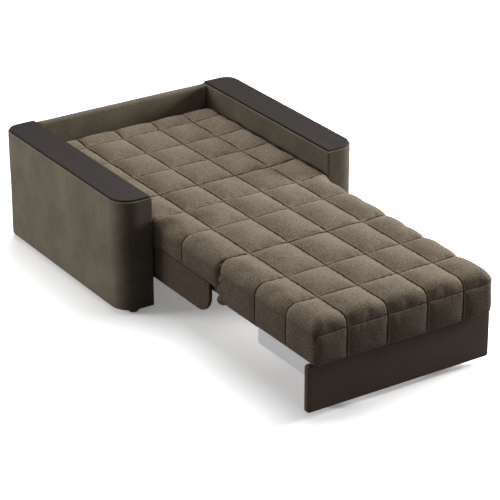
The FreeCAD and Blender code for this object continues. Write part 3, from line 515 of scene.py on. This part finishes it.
def rounded(first, second, low, high, radii):
    """Move points of a rectangle so that its corners are round. radii maps a corner, as the signs
    of its two directions, to its two radii. Returns how far each point moves in both directions."""
    move_first, move_second = np.zeros_like(first), np.zeros_like(second)
    for (sign_a, sign_b), (radius_a, radius_b) in radii.items():
        edge_a = high[0] if sign_a > 0 else low[0]
        edge_b = high[1] if sign_b > 0 else low[1]
        a = 1 - np.abs(edge_a - first) / radius_a
        b = 1 - np.abs(edge_b - second) / radius_b
        inside = (a > 0) & (b > 0)
        a, b = unit(a), unit(b)
        shift_a = sign_a * radius_a * a * (np.sqrt(1 - b * b / 2) - 1)
        shift_b = sign_b * radius_b * b * (np.sqrt(1 - a * a / 2) - 1)
        move_first += np.where(inside, shift_a, 0)
        move_second += np.where(inside, shift_b, 0)
    return move_first, move_second


def swell_between(value, seams, half):
    """From 0 on a seam to 1 between seams, steep beside the seam and flat in the middle."""
    reach = unit(near_line(value, seams) / half)
    return 1 - (1 - reach) ** 2.9


def quilt_grid(plan, step):
    """A box of quads for one section, with close lines at its seams, and where each point lies:
    across and along the cover as if it were unrolled, and down from the level of the seams."""
    low_y = plan["front"] + ENDS[plan["front_end"]]["inset"]
    high_y = plan["back"] - ENDS[plan["back_end"]]["inset"]
    sewn_front = plan["front_end"] == "front"
    front_seams = [SEAM_LEVEL - FRONT_SEAM_DROP] if sewn_front else []
    xs = grid_lines(-HALF_WIDTH, HALF_WIDTH, step, LONG_SEAMS)
    ys = grid_lines(low_y, high_y, step, plan["rows"])
    zs = grid_lines(plan["under"], SEAM_LEVEL, step, front_seams)
    points, faces = box_grid(xs, ys, zs)
    x, y, z = points.T
    depth = SEAM_LEVEL - z
    on_side = np.isclose(np.abs(x), HALF_WIDTH)
    on_front, on_back = np.isclose(y, low_y), np.isclose(y, high_y)
    to_corner = np.where(on_front, HALF_WIDTH - np.abs(x), np.where(on_side, y - low_y, FAR))
    sewn_corner = sewn_front & (depth > FRONT_SEAM_DROP - 2)
    grid = SimpleNamespace(
        x=x, y=y, z=z, depth=depth, low_y=low_y, high_y=high_y,
        on_front=on_front, on_back=on_back, under=np.isclose(z, plan["under"]),
        across=np.where(on_side, np.sign(x) * (HALF_WIDTH + depth), x),
        along=np.where(on_front, low_y - depth, np.where(on_back, high_y + depth, y)),
        corner=np.where(sewn_corner, to_corner, FAR),
        # Between the arms the cover is pressed square; in front of them its edge is full.
        pressed=unit((y - ARM_FRONT + 62) / 58),
        seams_along=list(plan["rows"]) + ([low_y - FRONT_SEAM_DROP] if sewn_front else []),
    )
    return grid, faces


def round_edges(grid, plan):
    """The grid's points with the edges and corners of the section rounded."""
    x, y, z, pressed = grid.x, grid.y, grid.z, grid.pressed
    back_end, front_end = ENDS[plan["back_end"]], ENDS[plan["front_end"]]
    upper_edge = (44 - 30 * pressed, 44 - 28 * pressed)
    hem_edge = plan["hem_edge"]
    side_x, side_z = rounded(
        x, z, (-HALF_WIDTH, plan["under"]), (HALF_WIDTH, SEAM_LEVEL),
        {(1, 1): upper_edge, (-1, 1): upper_edge, (1, -1): hem_edge, (-1, -1): hem_edge},
    )
    # The pressed stretch lies against the arms.
    side_x += np.sign(x) * 9 * pressed * unit((np.abs(x) - 300) / 80)
    end_y, end_z = rounded(
        y, z, (grid.low_y, plan["under"]), (grid.high_y, SEAM_LEVEL),
        {
            (1, 1): back_end["upper"], (-1, 1): front_end["upper"],
            (1, -1): back_end["lower"], (-1, -1): FRONT_LOWER_EDGE,
        },
    )
    ends = ((1, back_end), (-1, front_end))
    corner = {(a, b): (end["corner"],) * 2 for b, end in ends for a in (1, -1)}
    low, high = (-HALF_WIDTH, grid.low_y), (HALF_WIDTH, grid.high_y)
    plan_x, plan_y = rounded(x, y, low, high, corner)
    return np.stack([x + side_x + plan_x, y + end_y + plan_y, z + side_z + end_z], axis=1)


def swelling(grid, plan, sizes):
    """How far each point of the cover stands out along its normal before the simulation."""
    between_columns = swell_between(grid.across, LONG_SEAMS, HALF_COLUMN)
    between_rows = swell_between(grid.along, grid.seams_along, HALF_ROW)
    height = np.where(grid.on_front, ENDS[plan["front_end"]]["swell"], sizes.side_swell / M)
    height = np.where(grid.on_back, ENDS[plan["back_end"]]["swell"], height)
    height = height * (1 - 0.9 * grid.pressed)
    height = height + (sizes.tuft_height / M - height) * grid.up**0.7
    swell = between_columns * between_rows
    if plan["back_end"] == "swing":
        # The last row is pressed flat against the back, so its squares hardly part.
        flat = unit((grid.y - plan["back"] + 110) / 80)
        swell = swell + (0.72 + 0.1 * between_columns - swell) * flat
    # Seams draw the long edges in less than the middle, and beside the arms hardly at all.
    by_edge = unit((np.abs(grid.x) - HALF_WIDTH + 70) / 60)
    beside = (0.28 + 0.72 * grid.pressed) * by_edge * (1 - grid.on_front)
    swell = swell + (0.6 + 0.2 * between_rows - swell) * beside
    hem = unit((grid.z - plan["under"]) / 30) ** 0.5
    return swell * height * np.where(grid.under, 0, hem)


def mattress_form(name, plan, sizes):
    """The quilted cover of one section before the filling presses on it."""
    grid, faces = quilt_grid(plan, sizes.grid_step / M)
    piece = body_mesh(name, round_edges(grid, plan) * M, faces)
    mesh = piece.data
    normals = normals_of(mesh)
    grid.up = unit(normals[:, 2])
    push = swelling(grid, plan, sizes)
    set_points(mesh, points_of(mesh) + normals * push[:, None] * M)
    for label in ("across", "along", "depth", "under", "up", "corner"):
        store(mesh, label, getattr(grid, label))
    held = grid.under | (near_line(grid.across, LONG_SEAMS) < 0.5)
    held |= near_line(grid.along, grid.seams_along) < 0.5
    held |= grid.depth > SEAM_LEVEL - plan["under"] - 10
    group = piece.vertex_groups.new(name="held")
    group.add([int(i) for i in np.flatnonzero(held)], 1.0, "REPLACE")
    piece["seams_along"] = [float(seam) for seam in grid.seams_along]
    return piece


def press_out(pieces, sizes):
    """Let the filling press each cover out between its held seams, then cap the movement."""
    scene = bpy.context.scene
    start = [points_of(piece.data) for piece in pieces]
    for piece in pieces:
        cloth = piece.modifiers.new("Filling", "CLOTH")
        for name, value in CLOTH.items():
            setattr(cloth.settings, name, value)
        cloth.settings.uniform_pressure_force = sizes.pressure
        cloth.settings.effector_weights.gravity = 0
        cloth.collision_settings.use_self_collision = False
    for count in range(1, sizes.cloth_frames + 1):
        scene.frame_set(count)
    depsgraph = bpy.context.evaluated_depsgraph_get()
    for piece, before in zip(pieces, start):
        move = points_of(piece.evaluated_get(depsgraph).data) - before
        length = np.linalg.norm(move, axis=1)
        # Upright faces stand next to the arms or to the next section, so they may move less.
        give = np.minimum(sizes.cloth_give * (0.08 + 0.17 * stored(piece.data, "up")), length)
        move *= np.where(length > 1e-9, give / np.maximum(length, 1e-9), 0)[:, None]
        piece.modifiers.clear()
        set_points(piece.data, before + move)
    scene.frame_set(1)


def divide(piece):
    """One level of subdivision, made part of the mesh."""
    modifier = piece.modifiers.new("Divide", "SUBSURF")
    modifier.levels = modifier.render_levels = 1
    depsgraph = bpy.context.evaluated_depsgraph_get()
    mesh = bpy.data.meshes.new_from_object(
        piece.evaluated_get(depsgraph), preserve_all_data_layers=True, depsgraph=depsgraph
    )
    piece.modifiers.clear()
    old = piece.data
    piece.data = mesh
    mesh.name = piece.name
    bpy.data.meshes.remove(old)


def sew(piece, sizes, seed):
    """Draw the seams in and pucker the cloth beside them."""
    mesh = piece.data
    across, along, depth = (stored(mesh, label) for label in ("across", "along", "depth"))
    points, normals = points_of(mesh), normals_of(mesh)
    shown = 1 - unit(stored(mesh, "under") * 2)
    long_gap = near_line(across, LONG_SEAMS)
    row_gap = near_line(along, list(piece["seams_along"]))
    lengthwise = long_gap < row_gap
    gap = np.minimum(long_gap, row_gap)
    width = sizes.seam_width / M
    groove = np.exp(-((gap / width) ** 2)) * sizes.seam_depth / M
    groove *= np.where(lengthwise, 1.15, 0.8)
    dip = 2.2 * np.exp(-gap / 9.0)
    run = np.where(lengthwise, along, across)
    ripple = np.array([noise.noise(Vector((r / 9.0, seed, 0.3))) for r in run])
    groove *= 1 + 0.25 * ripple
    # Where two sections meet, the crease between them is already the seam.
    ends = [SECTIONS[name][end] for name in SECTIONS for end in ("front", "back")]
    groove *= np.clip(near_line(along, ends) / 12.0, 0.15, 1)
    corner = np.exp(-((stored(mesh, "corner") / 3.5) ** 2))
    groove += corner * sizes.seam_depth / M * 0.7
    # Puckers are ridges square to the seam, so their noise runs along it only.
    waves = [Vector((r / 14.0, g / 60.0, seed + 4.0)) for r, g in zip(run, gap)]
    pucker = np.array([noise.noise(wave) for wave in waves])
    pucker *= np.exp(-gap / 20.0) * unit(gap / 4.0) * sizes.pucker / M * 1.6
    uneven = wander(points, 120, seed) * 2.0 + wander(points, 55, seed + 9) * 1.0
    uneven *= unit(gap / 25.0)
    hem = np.clip((np.max(depth) - depth) / 14, 0.25, 1)
    push = (pucker + uneven - groove - dip) * shown * hem
    set_points(mesh, points + normals * push[:, None] * M)
    paint_shade_and_highlight(mesh, gap, lengthwise, corner, shown, width)


def paint_shade_and_highlight(mesh, gap, lengthwise, corner, shown, width):
    """Note for the material where to paint shade in the seams and on upright faces, and a highlight
    beside the seams.
    """
    # Painted shade in the seam groove, and a painted highlight a little way off it.
    groove_shade = unit(1.05 * np.exp(-((gap / (width * 0.9)) ** 2))) * shown
    store(mesh, "seam", np.maximum(groove_shade, corner * shown) * 0.5)
    painted_seam_highlight = np.exp(-(((gap - width * 2.1) / 1.5) ** 2)) * np.where(lengthwise, 0.9, 0.5)
    store(mesh, "painted_seam_highlight", painted_seam_highlight * shown)
    # Painted shade on upright faces.
    upright = 1 - unit((normals_of(mesh)[:, 2] + 0.25) / 1.15)
    store(mesh, "painted_shade", upright * 0.75)


def gather_corners(piece, plan):
    """Bunch the spare cloth at both lower corners of the end that meets the middle section."""
    mesh = piece.data
    points, normals = points_of(mesh), normals_of(mesh)
    x, y, z = (points / M).T
    ahead = y - plan["back"]
    for side in (-1, 1):
        away = np.sqrt(((x - side * 390) / 18) ** 2 + ((ahead + 12) / 22) ** 2)
        mask = np.exp(-(away**2)) * unit((338 - z) / 30)
        wave = (z - (plan["under"] + 20) + 0.3 * side * ahead) / 7.0
        folds = (0.5 + 0.5 * np.cos(wave)) ** 0.7
        size = 17.0 - 9.0 * unit((z - plan["under"]) / 120)
        points += normals * (mask * (1.0 + size * folds))[:, None] * M
    set_points(mesh, points)


def open_slots(piece, plan):
    """Leave narrow slots for the steel ears in the ends that fold at the seat."""
    mesh = piece.data
    points = points_of(mesh)
    x, y, z = (points / M).T
    for end, place, inward in (("front_end", plan["front"], 1), ("back_end", plan["back"], -1)):
        if plan[end] != "fold":
            continue
        from_end = np.abs(y - place)
        beside_ear = np.abs(np.abs(x) - EAR_PLACE) / 9.0
        low = unit((EAR_TOP + 7 - z) / 5)
        reach = unit(1 - from_end / 60)
        points[:, 1] += inward * 24 * unit(1.35 - beside_ear) * low * reach * M
        # Above the ear the two covers press together, so no light falls through.
        lip = unit((z - (EAR_TOP + 4)) / 4) * unit(1 - from_end / 14)
        lip *= unit(1.6 - beside_ear)
        points[:, 1] -= inward * 5 * lip * M
    set_points(mesh, points)


def seam_paths(piece):
    """Points along every seam of a mattress, in order, from its own finished mesh."""
    mesh = piece.data
    across, along = stored(mesh, "across"), stored(mesh, "along")
    shown = stored(mesh, "under") < 0.3
    points, normals = points_of(mesh), normals_of(mesh)
    lines = [(across, seam, along) for seam in LONG_SEAMS]
    lines += [(along, seam, across) for seam in piece["seams_along"]]
    paths = []
    for value, seam, order in lines:
        on = np.flatnonzero((np.abs(value - seam) < 0.05) & shown)
        on = on[np.argsort(order[on])]
        if len(on) > 3:
            paths.append(points[on] + normals[on] * 0.6 * M)
    return paths


def stitch_tree():
    """Stitches along a path: a small rounded bar at each pitch, turned to the path."""
    tree = bpy.data.node_groups.new("Stitches along a seam", "GeometryNodeTree")
    face = tree.interface
    face.new_socket("Geometry", in_out="INPUT", socket_type="NodeSocketGeometry")
    for label in ("Pitch", "Length", "Thread"):
        face.new_socket(label, in_out="INPUT", socket_type="NodeSocketFloat")
    face.new_socket("Material", in_out="INPUT", socket_type="NodeSocketMaterial")
    face.new_socket("Geometry", in_out="OUTPUT", socket_type="NodeSocketGeometry")
    given = add(tree, "NodeGroupInput").outputs
    path = add(tree, "GeometryNodeMeshToCurve", {"Mesh": given["Geometry"]})
    run = {"Curve": path.outputs[0], "Length": given["Pitch"]}
    spaced = add(tree, "GeometryNodeResampleCurve", run, mode="LENGTH")
    bead = add(tree, "GeometryNodeMeshUVSphere", {"Segments": 6, "Rings": 4, "Radius": 0.5})
    tangent = add(tree, "GeometryNodeInputTangent")
    turn = add(tree, "FunctionNodeAlignRotationToVector", {"Vector": tangent.outputs[0]}, axis="Z")
    scale = {"X": given["Thread"], "Y": given["Thread"], "Z": given["Length"]}
    size = add(tree, "ShaderNodeCombineXYZ", scale)
    beads = {
        "Points": spaced.outputs[0], "Instance": bead.outputs["Mesh"],
        "Rotation": turn.outputs[0], "Scale": size.outputs[0],
    }
    placed = add(tree, "GeometryNodeInstanceOnPoints", beads)
    real = add(tree, "GeometryNodeRealizeInstances", {"Geometry": placed.outputs[0]})
    cover = {"Geometry": real.outputs[0], "Material": given["Material"]}
    done = add(tree, "GeometryNodeSetMaterial", cover)
    add(tree, "NodeGroupOutput", {"Geometry": done.outputs[0]})
    return tree


def stitched(name, paths, sizes, node, bend):
    """One plain mesh of stitches along the paths, riding with the node's body unless it has a bend,
    then baked in place.
    """
    points, edges = [], []
    for path in paths:
        first = len(points)
        points += [tuple(p) for p in path]
        edges += [(first + i, first + i + 1) for i in range(len(path) - 1)]
    guide = body_mesh(name, points, [], edges)
    tree = bpy.data.node_groups.get("Stitches along a seam") or stitch_tree()
    modifier = guide.modifiers.new("Stitches", "NODES")
    modifier.node_group = tree
    values = {
        "Pitch": sizes.stitch_pitch,
        "Length": sizes.stitch_length,
        "Thread": sizes.thread,
        "Material": finishes["thread"],
    }
    for item in tree.interface.items_tree:
        if item.in_out == "INPUT" and item.name in values:
            modifier[item.identifier] = values[item.name]
    depsgraph = bpy.context.evaluated_depsgraph_get()
    mesh = bpy.data.meshes.new_from_object(guide.evaluated_get(depsgraph), depsgraph=depsgraph)
    guide.modifiers.clear()
    guide.data = mesh
    mesh.name = name
    dress(guide, node, finish="thread", bend=bend)


def outline(low, high, radii, inset, step, bend=8):
    """A rounded rectangle, anticlockwise. radii belong to its corners (low low), (high low),
    (high high) and (low high). Every inset gives the same number of points."""
    (low_a, low_b), (high_a, high_b) = low, high
    corners = ((low_a, low_b, 180), (high_a, low_b, 270), (high_a, high_b, 0), (low_a, high_b, 90))
    arcs = []
    for (a, b, start), radius in zip(corners, radii):
        round_to = max(radius - inset, 0.6)
        centre_a = a + (inset + round_to) * (1 if a == low_a else -1)
        centre_b = b + (inset + round_to) * (1 if b == low_b else -1)
        turns = [math.radians(start + 90 * i / bend) for i in range(bend + 1)]
        arc = [(math.cos(turn), math.sin(turn)) for turn in turns]
        arcs.append([(centre_a + round_to * c, centre_b + round_to * s) for c, s in arc])
    spans = (high_a - low_a, high_b - low_b) * 2
    ring = []
    for place, arc in enumerate(arcs):
        ring += arc
        following = arcs[(place + 1) % 4][0]
        count = max(1, round(spans[place] / step))
        for i in range(1, count):
            share = i / count
            ring.append(tuple(arc[-1][k] + (following[k] - arc[-1][k]) * share for k in (0, 1)))
    return ring


def skin(name, rings, closed=False):
    """Quads between rings of equal length. An open run of rings gets a face at each end."""
    count = len(rings[0])
    points = [p for ring in rings for p in ring]
    faces = []
    for r in range(len(rings) if closed else len(rings) - 1):
        here, there = r * count, ((r + 1) % len(rings)) * count
        for i in range(count):
            j = (i + 1) % count
            faces.append((here + i, here + j, there + j, there + i))
    if not closed:
        faces.append(tuple(range(count))[::-1])
        faces.append(tuple((len(rings) - 1) * count + i for i in range(count)))
    piece = body_mesh(name, np.array(points) * M, faces)
    face_out(piece.data)
    return piece


def face_out(mesh):
    """Turn a closed mesh inside out if its volume comes out negative."""
    points = points_of(mesh)
    volume = 0.0
    for polygon in mesh.polygons:
        first, *others = points[list(polygon.vertices)]
        for here, there in zip(others, others[1:]):
            volume += np.dot(first, np.cross(here, there))
    if volume < 0:
        mesh.flip_normals()


def soften(piece, seed, amount, keep):
    """Slight hollows and swells of cloth drawn over thin foam, as strong as keep says."""
    mesh = piece.data
    points, normals = points_of(mesh), normals_of(mesh)
    push = wander(points, 210, seed) * 0.7 + wander(points, 80, seed + 3) * 0.3
    push = push * amount * keep(points / M)
    set_points(mesh, points + normals * push[:, None] * M)


def sleeve_profile():
    """An arm cover's section as insets and levels: from its hem up the outer face, over the lip
    round the wooden top and down again inside the wall."""
    wall, lip = 6.0, 2.9
    rise = COVER_HIGH - COVER_LOW - 5 - lip
    profile = [(2.0, COVER_LOW + 1.2), (0.9, COVER_LOW + 2.0), (0.3, COVER_LOW + 3.4)]
    profile += [(0.0, COVER_LOW + 5 + rise * i / 22) for i in range(23)]
    turns = [math.radians(angle) for angle in (22, 45, 68, 90, 112, 135, 158, 180)]
    profile += [(lip - lip * math.cos(t), COVER_HIGH - lip + lip * math.sin(t)) for t in turns]
    return profile + [(wall, level) for level in (COVER_HIGH - 12, 300, 100, COVER_LOW + 1.2)]


def arm_slack(points):
    """How freely an arm's cover can hollow: less at its hem and lip, not on its inner face."""
    x, _, z = points.T
    edges = unit((z - (COVER_LOW + 4)) / 40) * np.clip((COVER_HIGH - 6 - z) / 25, 0.15, 1)
    return edges * unit((np.abs(x) - ARM_INNER - 1) / 4)


def arm_cover(side):
    """The sleeve of one arm."""
    if side == "right":
        low, high, radii = (ARM_INNER, ARM_FRONT), (ARM_OUTER, BED_REAR), (4, 80, 60, 4)
    else:
        low, high, radii = (-ARM_OUTER, ARM_FRONT), (-ARM_INNER, BED_REAR), (80, 4, 4, 60)
    rings = [
        [(a, b, level) for a, b in outline(low, high, radii, inset, 24)]
        for inset, level in sleeve_profile()
    ]
    piece = skin(f"{side}_arm_upholstery", rings, closed=True)
    soften(piece, 3 if side == "right" else 5, 1.6, arm_slack)
    mesh = piece.data
    x, y, _ = (points_of(mesh) / M).T
    # The seam that runs up the inner front corner, painted as a thin dark line of shade.
    corner = np.sqrt((np.abs(x) - (ARM_INNER + 3)) ** 2 + (y - ARM_FRONT) ** 2)
    store(mesh, "seam", unit(1 - corner / 5.0) * 0.4)
    # Painted shade: the front and, less, the inner face are coloured darker, as if in shade.
    normals = normals_of(mesh)
    front = unit(-normals[:, 1]) ** 1.5
    inward = unit(-np.sign(x) * normals[:, 0])
    store(mesh, "painted_shade", np.maximum(front * 0.85, inward * 0.42))
    return piece


class BED_OT_mattress(bpy.types.Operator):
    """Quilted mattress covers of the three sections, with their seams and stitches"""

    bl_idname = "bed.mattress"
    bl_label = "Quilted mattress"

    def execute(self, context):
        sizes = context.scene.chair_bed_sizes
        pieces = [mattress_form(f"{name}_mattress", plan, sizes) for name, plan in SECTIONS.items()]
        press_out(pieces, sizes)
        for seed, (piece, (name, plan)) in enumerate(zip(pieces, SECTIONS.items())):
            divide(piece)
            sew(piece, sizes, seed * 11 + 2)
            open_slots(piece, plan)
            if name == "seat":
                gather_corners(piece, plan)
            node = f"{name}_mattress_cover"
            bend = FOLD_BEND if name != "rear" else None
            dress(piece, node, replaced=(node, f"{name}_mattress_foam"), bend=bend)
            stitched(f"{name}_mattress_stitches", seam_paths(piece), sizes, node, bend)
        return {"FINISHED"}


class BED_OT_arms(bpy.types.Operator):
    """Microsuede sleeves of both arms"""

    bl_idname = "bed.arms"
    bl_label = "Arm upholstery"

    def execute(self, context):
        for side in ("right", "left"):
            node = f"{side}_arm_cover"
            dress(arm_cover(side), node, replaced=(node,))
        return {"FINISHED"}


def back_slack(points):
    """How freely the back's cover can hollow: not at its ends and hem."""
    x, _, z = points.T
    ends = unit((ARM_INNER - np.abs(x)) / 30)
    return ends * unit((z - (COVER_LOW + 6)) / 40)


class BED_OT_back(bpy.types.Operator):
    """Low upholstered back between the arms"""

    bl_idname = "bed.back"
    bl_label = "Back upholstery"

    def execute(self, context):
        ring = outline((BACK_FACE, COVER_LOW), (BED_REAR, COVER_HIGH), (3, 3, 14, 14), 0, 24)
        places = grid_lines(-ARM_INNER, ARM_INNER, 22, ())
        piece = skin("back_upholstery", [[(place, a, b) for a, b in ring] for place in places])
        soften(piece, 8, 1.5, back_slack)
        normals = normals_of(piece.data)
        # Painted shade on the back's top and front faces.
        store(piece.data, "painted_shade", unit(normals[:, 2] - normals[:, 1]) * 0.48)
        dress(piece, "back_cover", replaced=("back_cover",))
        return {"FINISHED"}


def panel(name, place, shape, sign=1):
    """A thin upholstered panel: a rounded outline, round edges and slightly crowned faces. place
    makes a point of the bed from a point of the outline and a height between the faces."""
    near, far = (sign * face for face in shape["faces"])
    middle, half = (near + far) / 2, abs(far - near) / 2
    edge, crown = shape["edge"], shape["crown"]
    profile = [(26, half + crown), (16, half + crown * 0.6), (edge * 1.5, half)]
    turns = [math.radians(90 - 90 * i / 5) for i in range(6)]
    profile += [(edge - edge * math.cos(t), half - edge + edge * math.sin(t)) for t in turns]
    profile += [(inset, -height) for inset, height in reversed(profile)]
    box = (shape["low"], shape["high"], shape["radii"])
    rings = [
        [place(a, b, middle + height) for a, b in outline(*box, inset, 22)]
        for inset, height in profile
    ]
    return skin(name, rings)


class BED_OT_side_panels(bpy.types.Operator):
    """Covered boards that hang under both sides of the middle section"""

    bl_idname = "bed.side_panels"
    bl_label = "Side panels"

    def execute(self, context):
        for side, sign in (("right", 1), ("left", -1)):
            name = f"{side}_side_panel_upholstery"
            piece = panel(name, lambda a, b, c: (c, a, b), SIDE_PANEL, sign)
            # Painted shade: the side panels are darkened all over, as upright faces.
            store(piece.data, "painted_shade", np.full(len(piece.data.vertices), 0.9))
            node = f"{side}_side_panel_cover"
            dress(piece, node, finish="quilted_velour", replaced=(node,))
        return {"FINISHED"}


class BED_OT_front_panel(bpy.types.Operator):
    """Dark front panel that drops to the floor under the seat"""

    bl_idname = "bed.front_panel"
    bl_label = "Front panel"

    def execute(self, context):
        piece = panel("front_panel_upholstery", lambda a, b, c: (a, c, b), FRONT_PANEL)
        dress(piece, "front_panel_cover", replaced=("front_panel_cover",))
        return {"FINISHED"}


class BED_OT_hard_parts(bpy.types.Operator):
    """Finishes of the boards, slats, tubes, screws, feet and rollers that the CAD model shapes"""

    bl_idname = "bed.hard_parts"
    bl_label = "Boards, steel and plastic"

    def execute(self, context):
        for name, node in frame["nodes"].items():
            if node.hide_render:
                continue
            node.data.materials.clear()
            node.data.materials.append(finishes[SLOT_OF[name]])
        return {"FINISHED"}


def lamp(name, place, aim, size, power):
    """A soft box that faces a point, all in metres."""
    light = bpy.data.lights.new(name, "AREA")
    light.shape = "RECTANGLE"
    light.size, light.size_y = size
    light.energy = power
    holder = bpy.data.objects.new(name, light)
    holder.location = place
    holder.rotation_euler = (Vector(aim) - Vector(place)).to_track_quat("-Z", "Y").to_euler()
    bpy.context.scene.collection.objects.link(holder)


def paper_material():
    """Studio paper: matt white that fades into the background and keeps the bed's shadow."""
    material, tree, body = new_material("White studio paper", Roughness=0.9)
    ray = add(tree, "ShaderNodeLightPath").outputs
    # Seen by the camera the paper is white; it throws less light back at the upright faces.
    paper = mixed(tree, ray["Is Camera Ray"], grey(0.35), grey(1.7))
    feed(tree, body, {"Base Color": paper})
    rays = {0: ray["Is Camera Ray"], 1: ray["Is Glossy Ray"]}
    seen = add(tree, "ShaderNodeMath", rays, operation="MAXIMUM")
    # From 2.2 to 6 metres from the bed the paper runs into the white background.
    spot = add(tree, "ShaderNodeTexCoord").outputs["Object"]
    away = add(tree, "ShaderNodeVectorMath", {0: spot}, operation="LENGTH").outputs["Value"]
    fade = add(tree, "ShaderNodeMapRange", {"Value": away, 1: 2.2, 2: 6.0, 3: 0.2, 4: 1.0})
    parts = {0: seen.outputs[0], 1: fade.outputs["Result"]}
    share = add(tree, "ShaderNodeMath", parts, operation="MULTIPLY")
    glow = add(tree, "ShaderNodeEmission", {"Color": grey(1.0), "Strength": 1.0})
    layers = {0: share.outputs[0], 1: body.outputs[0], 2: glow.outputs[0]}
    both = add(tree, "ShaderNodeMixShader", layers)
    feed(tree, tree.nodes["Material Output"], {"Surface": both.outputs[0]})
    return material


def white_room(scene, strength):
    """A world that looks white and lights the bed with the given strength."""
    world = bpy.data.worlds.new("Studio room")
    scene.world = world
    world.use_nodes = True
    tree = world.node_tree
    tree.nodes.clear()
    ray = add(tree, "ShaderNodeLightPath").outputs
    room = add(tree, "ShaderNodeBackground", {"Color": grey(1.0), "Strength": strength})
    white = add(tree, "ShaderNodeBackground", {"Color": grey(1.0), "Strength": 1.0})
    layers = {0: ray["Is Camera Ray"], 1: room.outputs[0], 2: white.outputs[0]}
    both = add(tree, "ShaderNodeMixShader", layers)
    add(tree, "ShaderNodeOutputWorld", {"Surface": both.outputs[0]})


def place_camera(scene, lens):
    """The camera, standing where the photograph's lines put it."""
    azimuth, height, roll = (math.radians(angle) for angle in CAMERA_ANGLES)
    level = math.cos(height)
    back = Vector((math.sin(azimuth) * level, -math.cos(azimuth) * level, math.sin(height)))
    right = Vector((0, 0, 1)).cross(back).normalized()
    up = back.cross(right)
    wide = right * math.cos(roll) - up * math.sin(roll)
    tall = right * math.sin(roll) + up * math.cos(roll)
    camera = bpy.data.objects.new("Camera", bpy.data.cameras.new("Camera"))
    camera.data.lens = lens
    camera.data.sensor_width = 36.0
    camera.data.clip_end = 100.0
    turn = Matrix((wide, tall, back)).transposed().to_4x4()
    spot = Vector(CAMERA_TARGET) * M + back * CAMERA_DISTANCE * M
    camera.matrix_world = Matrix.Translation(spot) @ turn
    scene.collection.objects.link(camera)
    scene.camera = camera


class BED_OT_stage(bpy.types.Operator):
    """White floor, soft lights and the camera"""

    bl_idname = "bed.stage"
    bl_label = "Studio"

    def execute(self, context):
        scene = context.scene
        look = scene.chair_bed_stage
        reach = 40.0
        corners = [(-reach, -reach, 0), (reach, -reach, 0), (reach, reach, 0), (-reach, reach, 0)]
        floor = body_mesh("studio_floor", corners, [(0, 1, 2, 3)])
        floor.data.materials.append(paper_material())
        white_room(scene, look.room_light)
        lamp("Top soft box", (1.5, 1.4, 5.1), (0.0, 0.0, 0.3), (5.0, 5.0), look.top_light)
        lamp("Left soft box", (-5.0, 3.0, 2.0), (-0.5, 0.5, 0.2), (2.5, 2.0), look.side_light)
        lamp("Right soft box", (4.8, -1.2, 1.6), (0.4, 0.2, 0.3), (1.6, 1.6), look.rim_light)
        place_camera(scene, look.lens)
        scene.view_settings.view_transform = "Standard"
        return {"FINISHED"}


OPERATORS = (
    BED_OT_mattress,
    BED_OT_arms,
    BED_OT_back,
    BED_OT_side_panels,
    BED_OT_front_panel,
    BED_OT_hard_parts,
    BED_OT_stage,
)


class BED_PT_sidebar(bpy.types.Panel):
    """Lists the steps that build the chair bed"""

    bl_label = "Chair bed"
    bl_idname = "BED_PT_sidebar"
    bl_space_type = "VIEW_3D"
    bl_region_type = "UI"
    bl_category = "Chair bed"

    def draw(self, context):
        for name, group in GROUPS.items():
            for setting in group.__annotations__:
                self.layout.prop(getattr(context.scene, name), setting)
        for operator in OPERATORS:
            self.layout.operator(operator.bl_idname)


GROUPS = {
    "chair_bed_sizes": ChairBedSizes,
    "chair_bed_colours": ChairBedColours,
    "chair_bed_stage": ChairBedStage,
}


def register():
    for name, group in GROUPS.items():
        bpy.utils.register_class(group)
        setattr(bpy.types.Scene, name, PointerProperty(type=group))
    for item in OPERATORS + (BED_PT_sidebar,):
        bpy.utils.register_class(item)


def unregister():
    for item in reversed(OPERATORS + (BED_PT_sidebar,)):
        bpy.utils.unregister_class(item)
    for name, group in reversed(GROUPS.items()):
        delattr(bpy.types.Scene, name)
        bpy.utils.unregister_class(group)


finishes = {}


def main():
    register()
    finishes.update(make_materials(bpy.context.scene.chair_bed_colours))
    for operator in OPERATORS:
        group, name = operator.bl_idname.split(".")
        getattr(getattr(bpy.ops, group), name)()


if __name__ == "__main__":
    main()
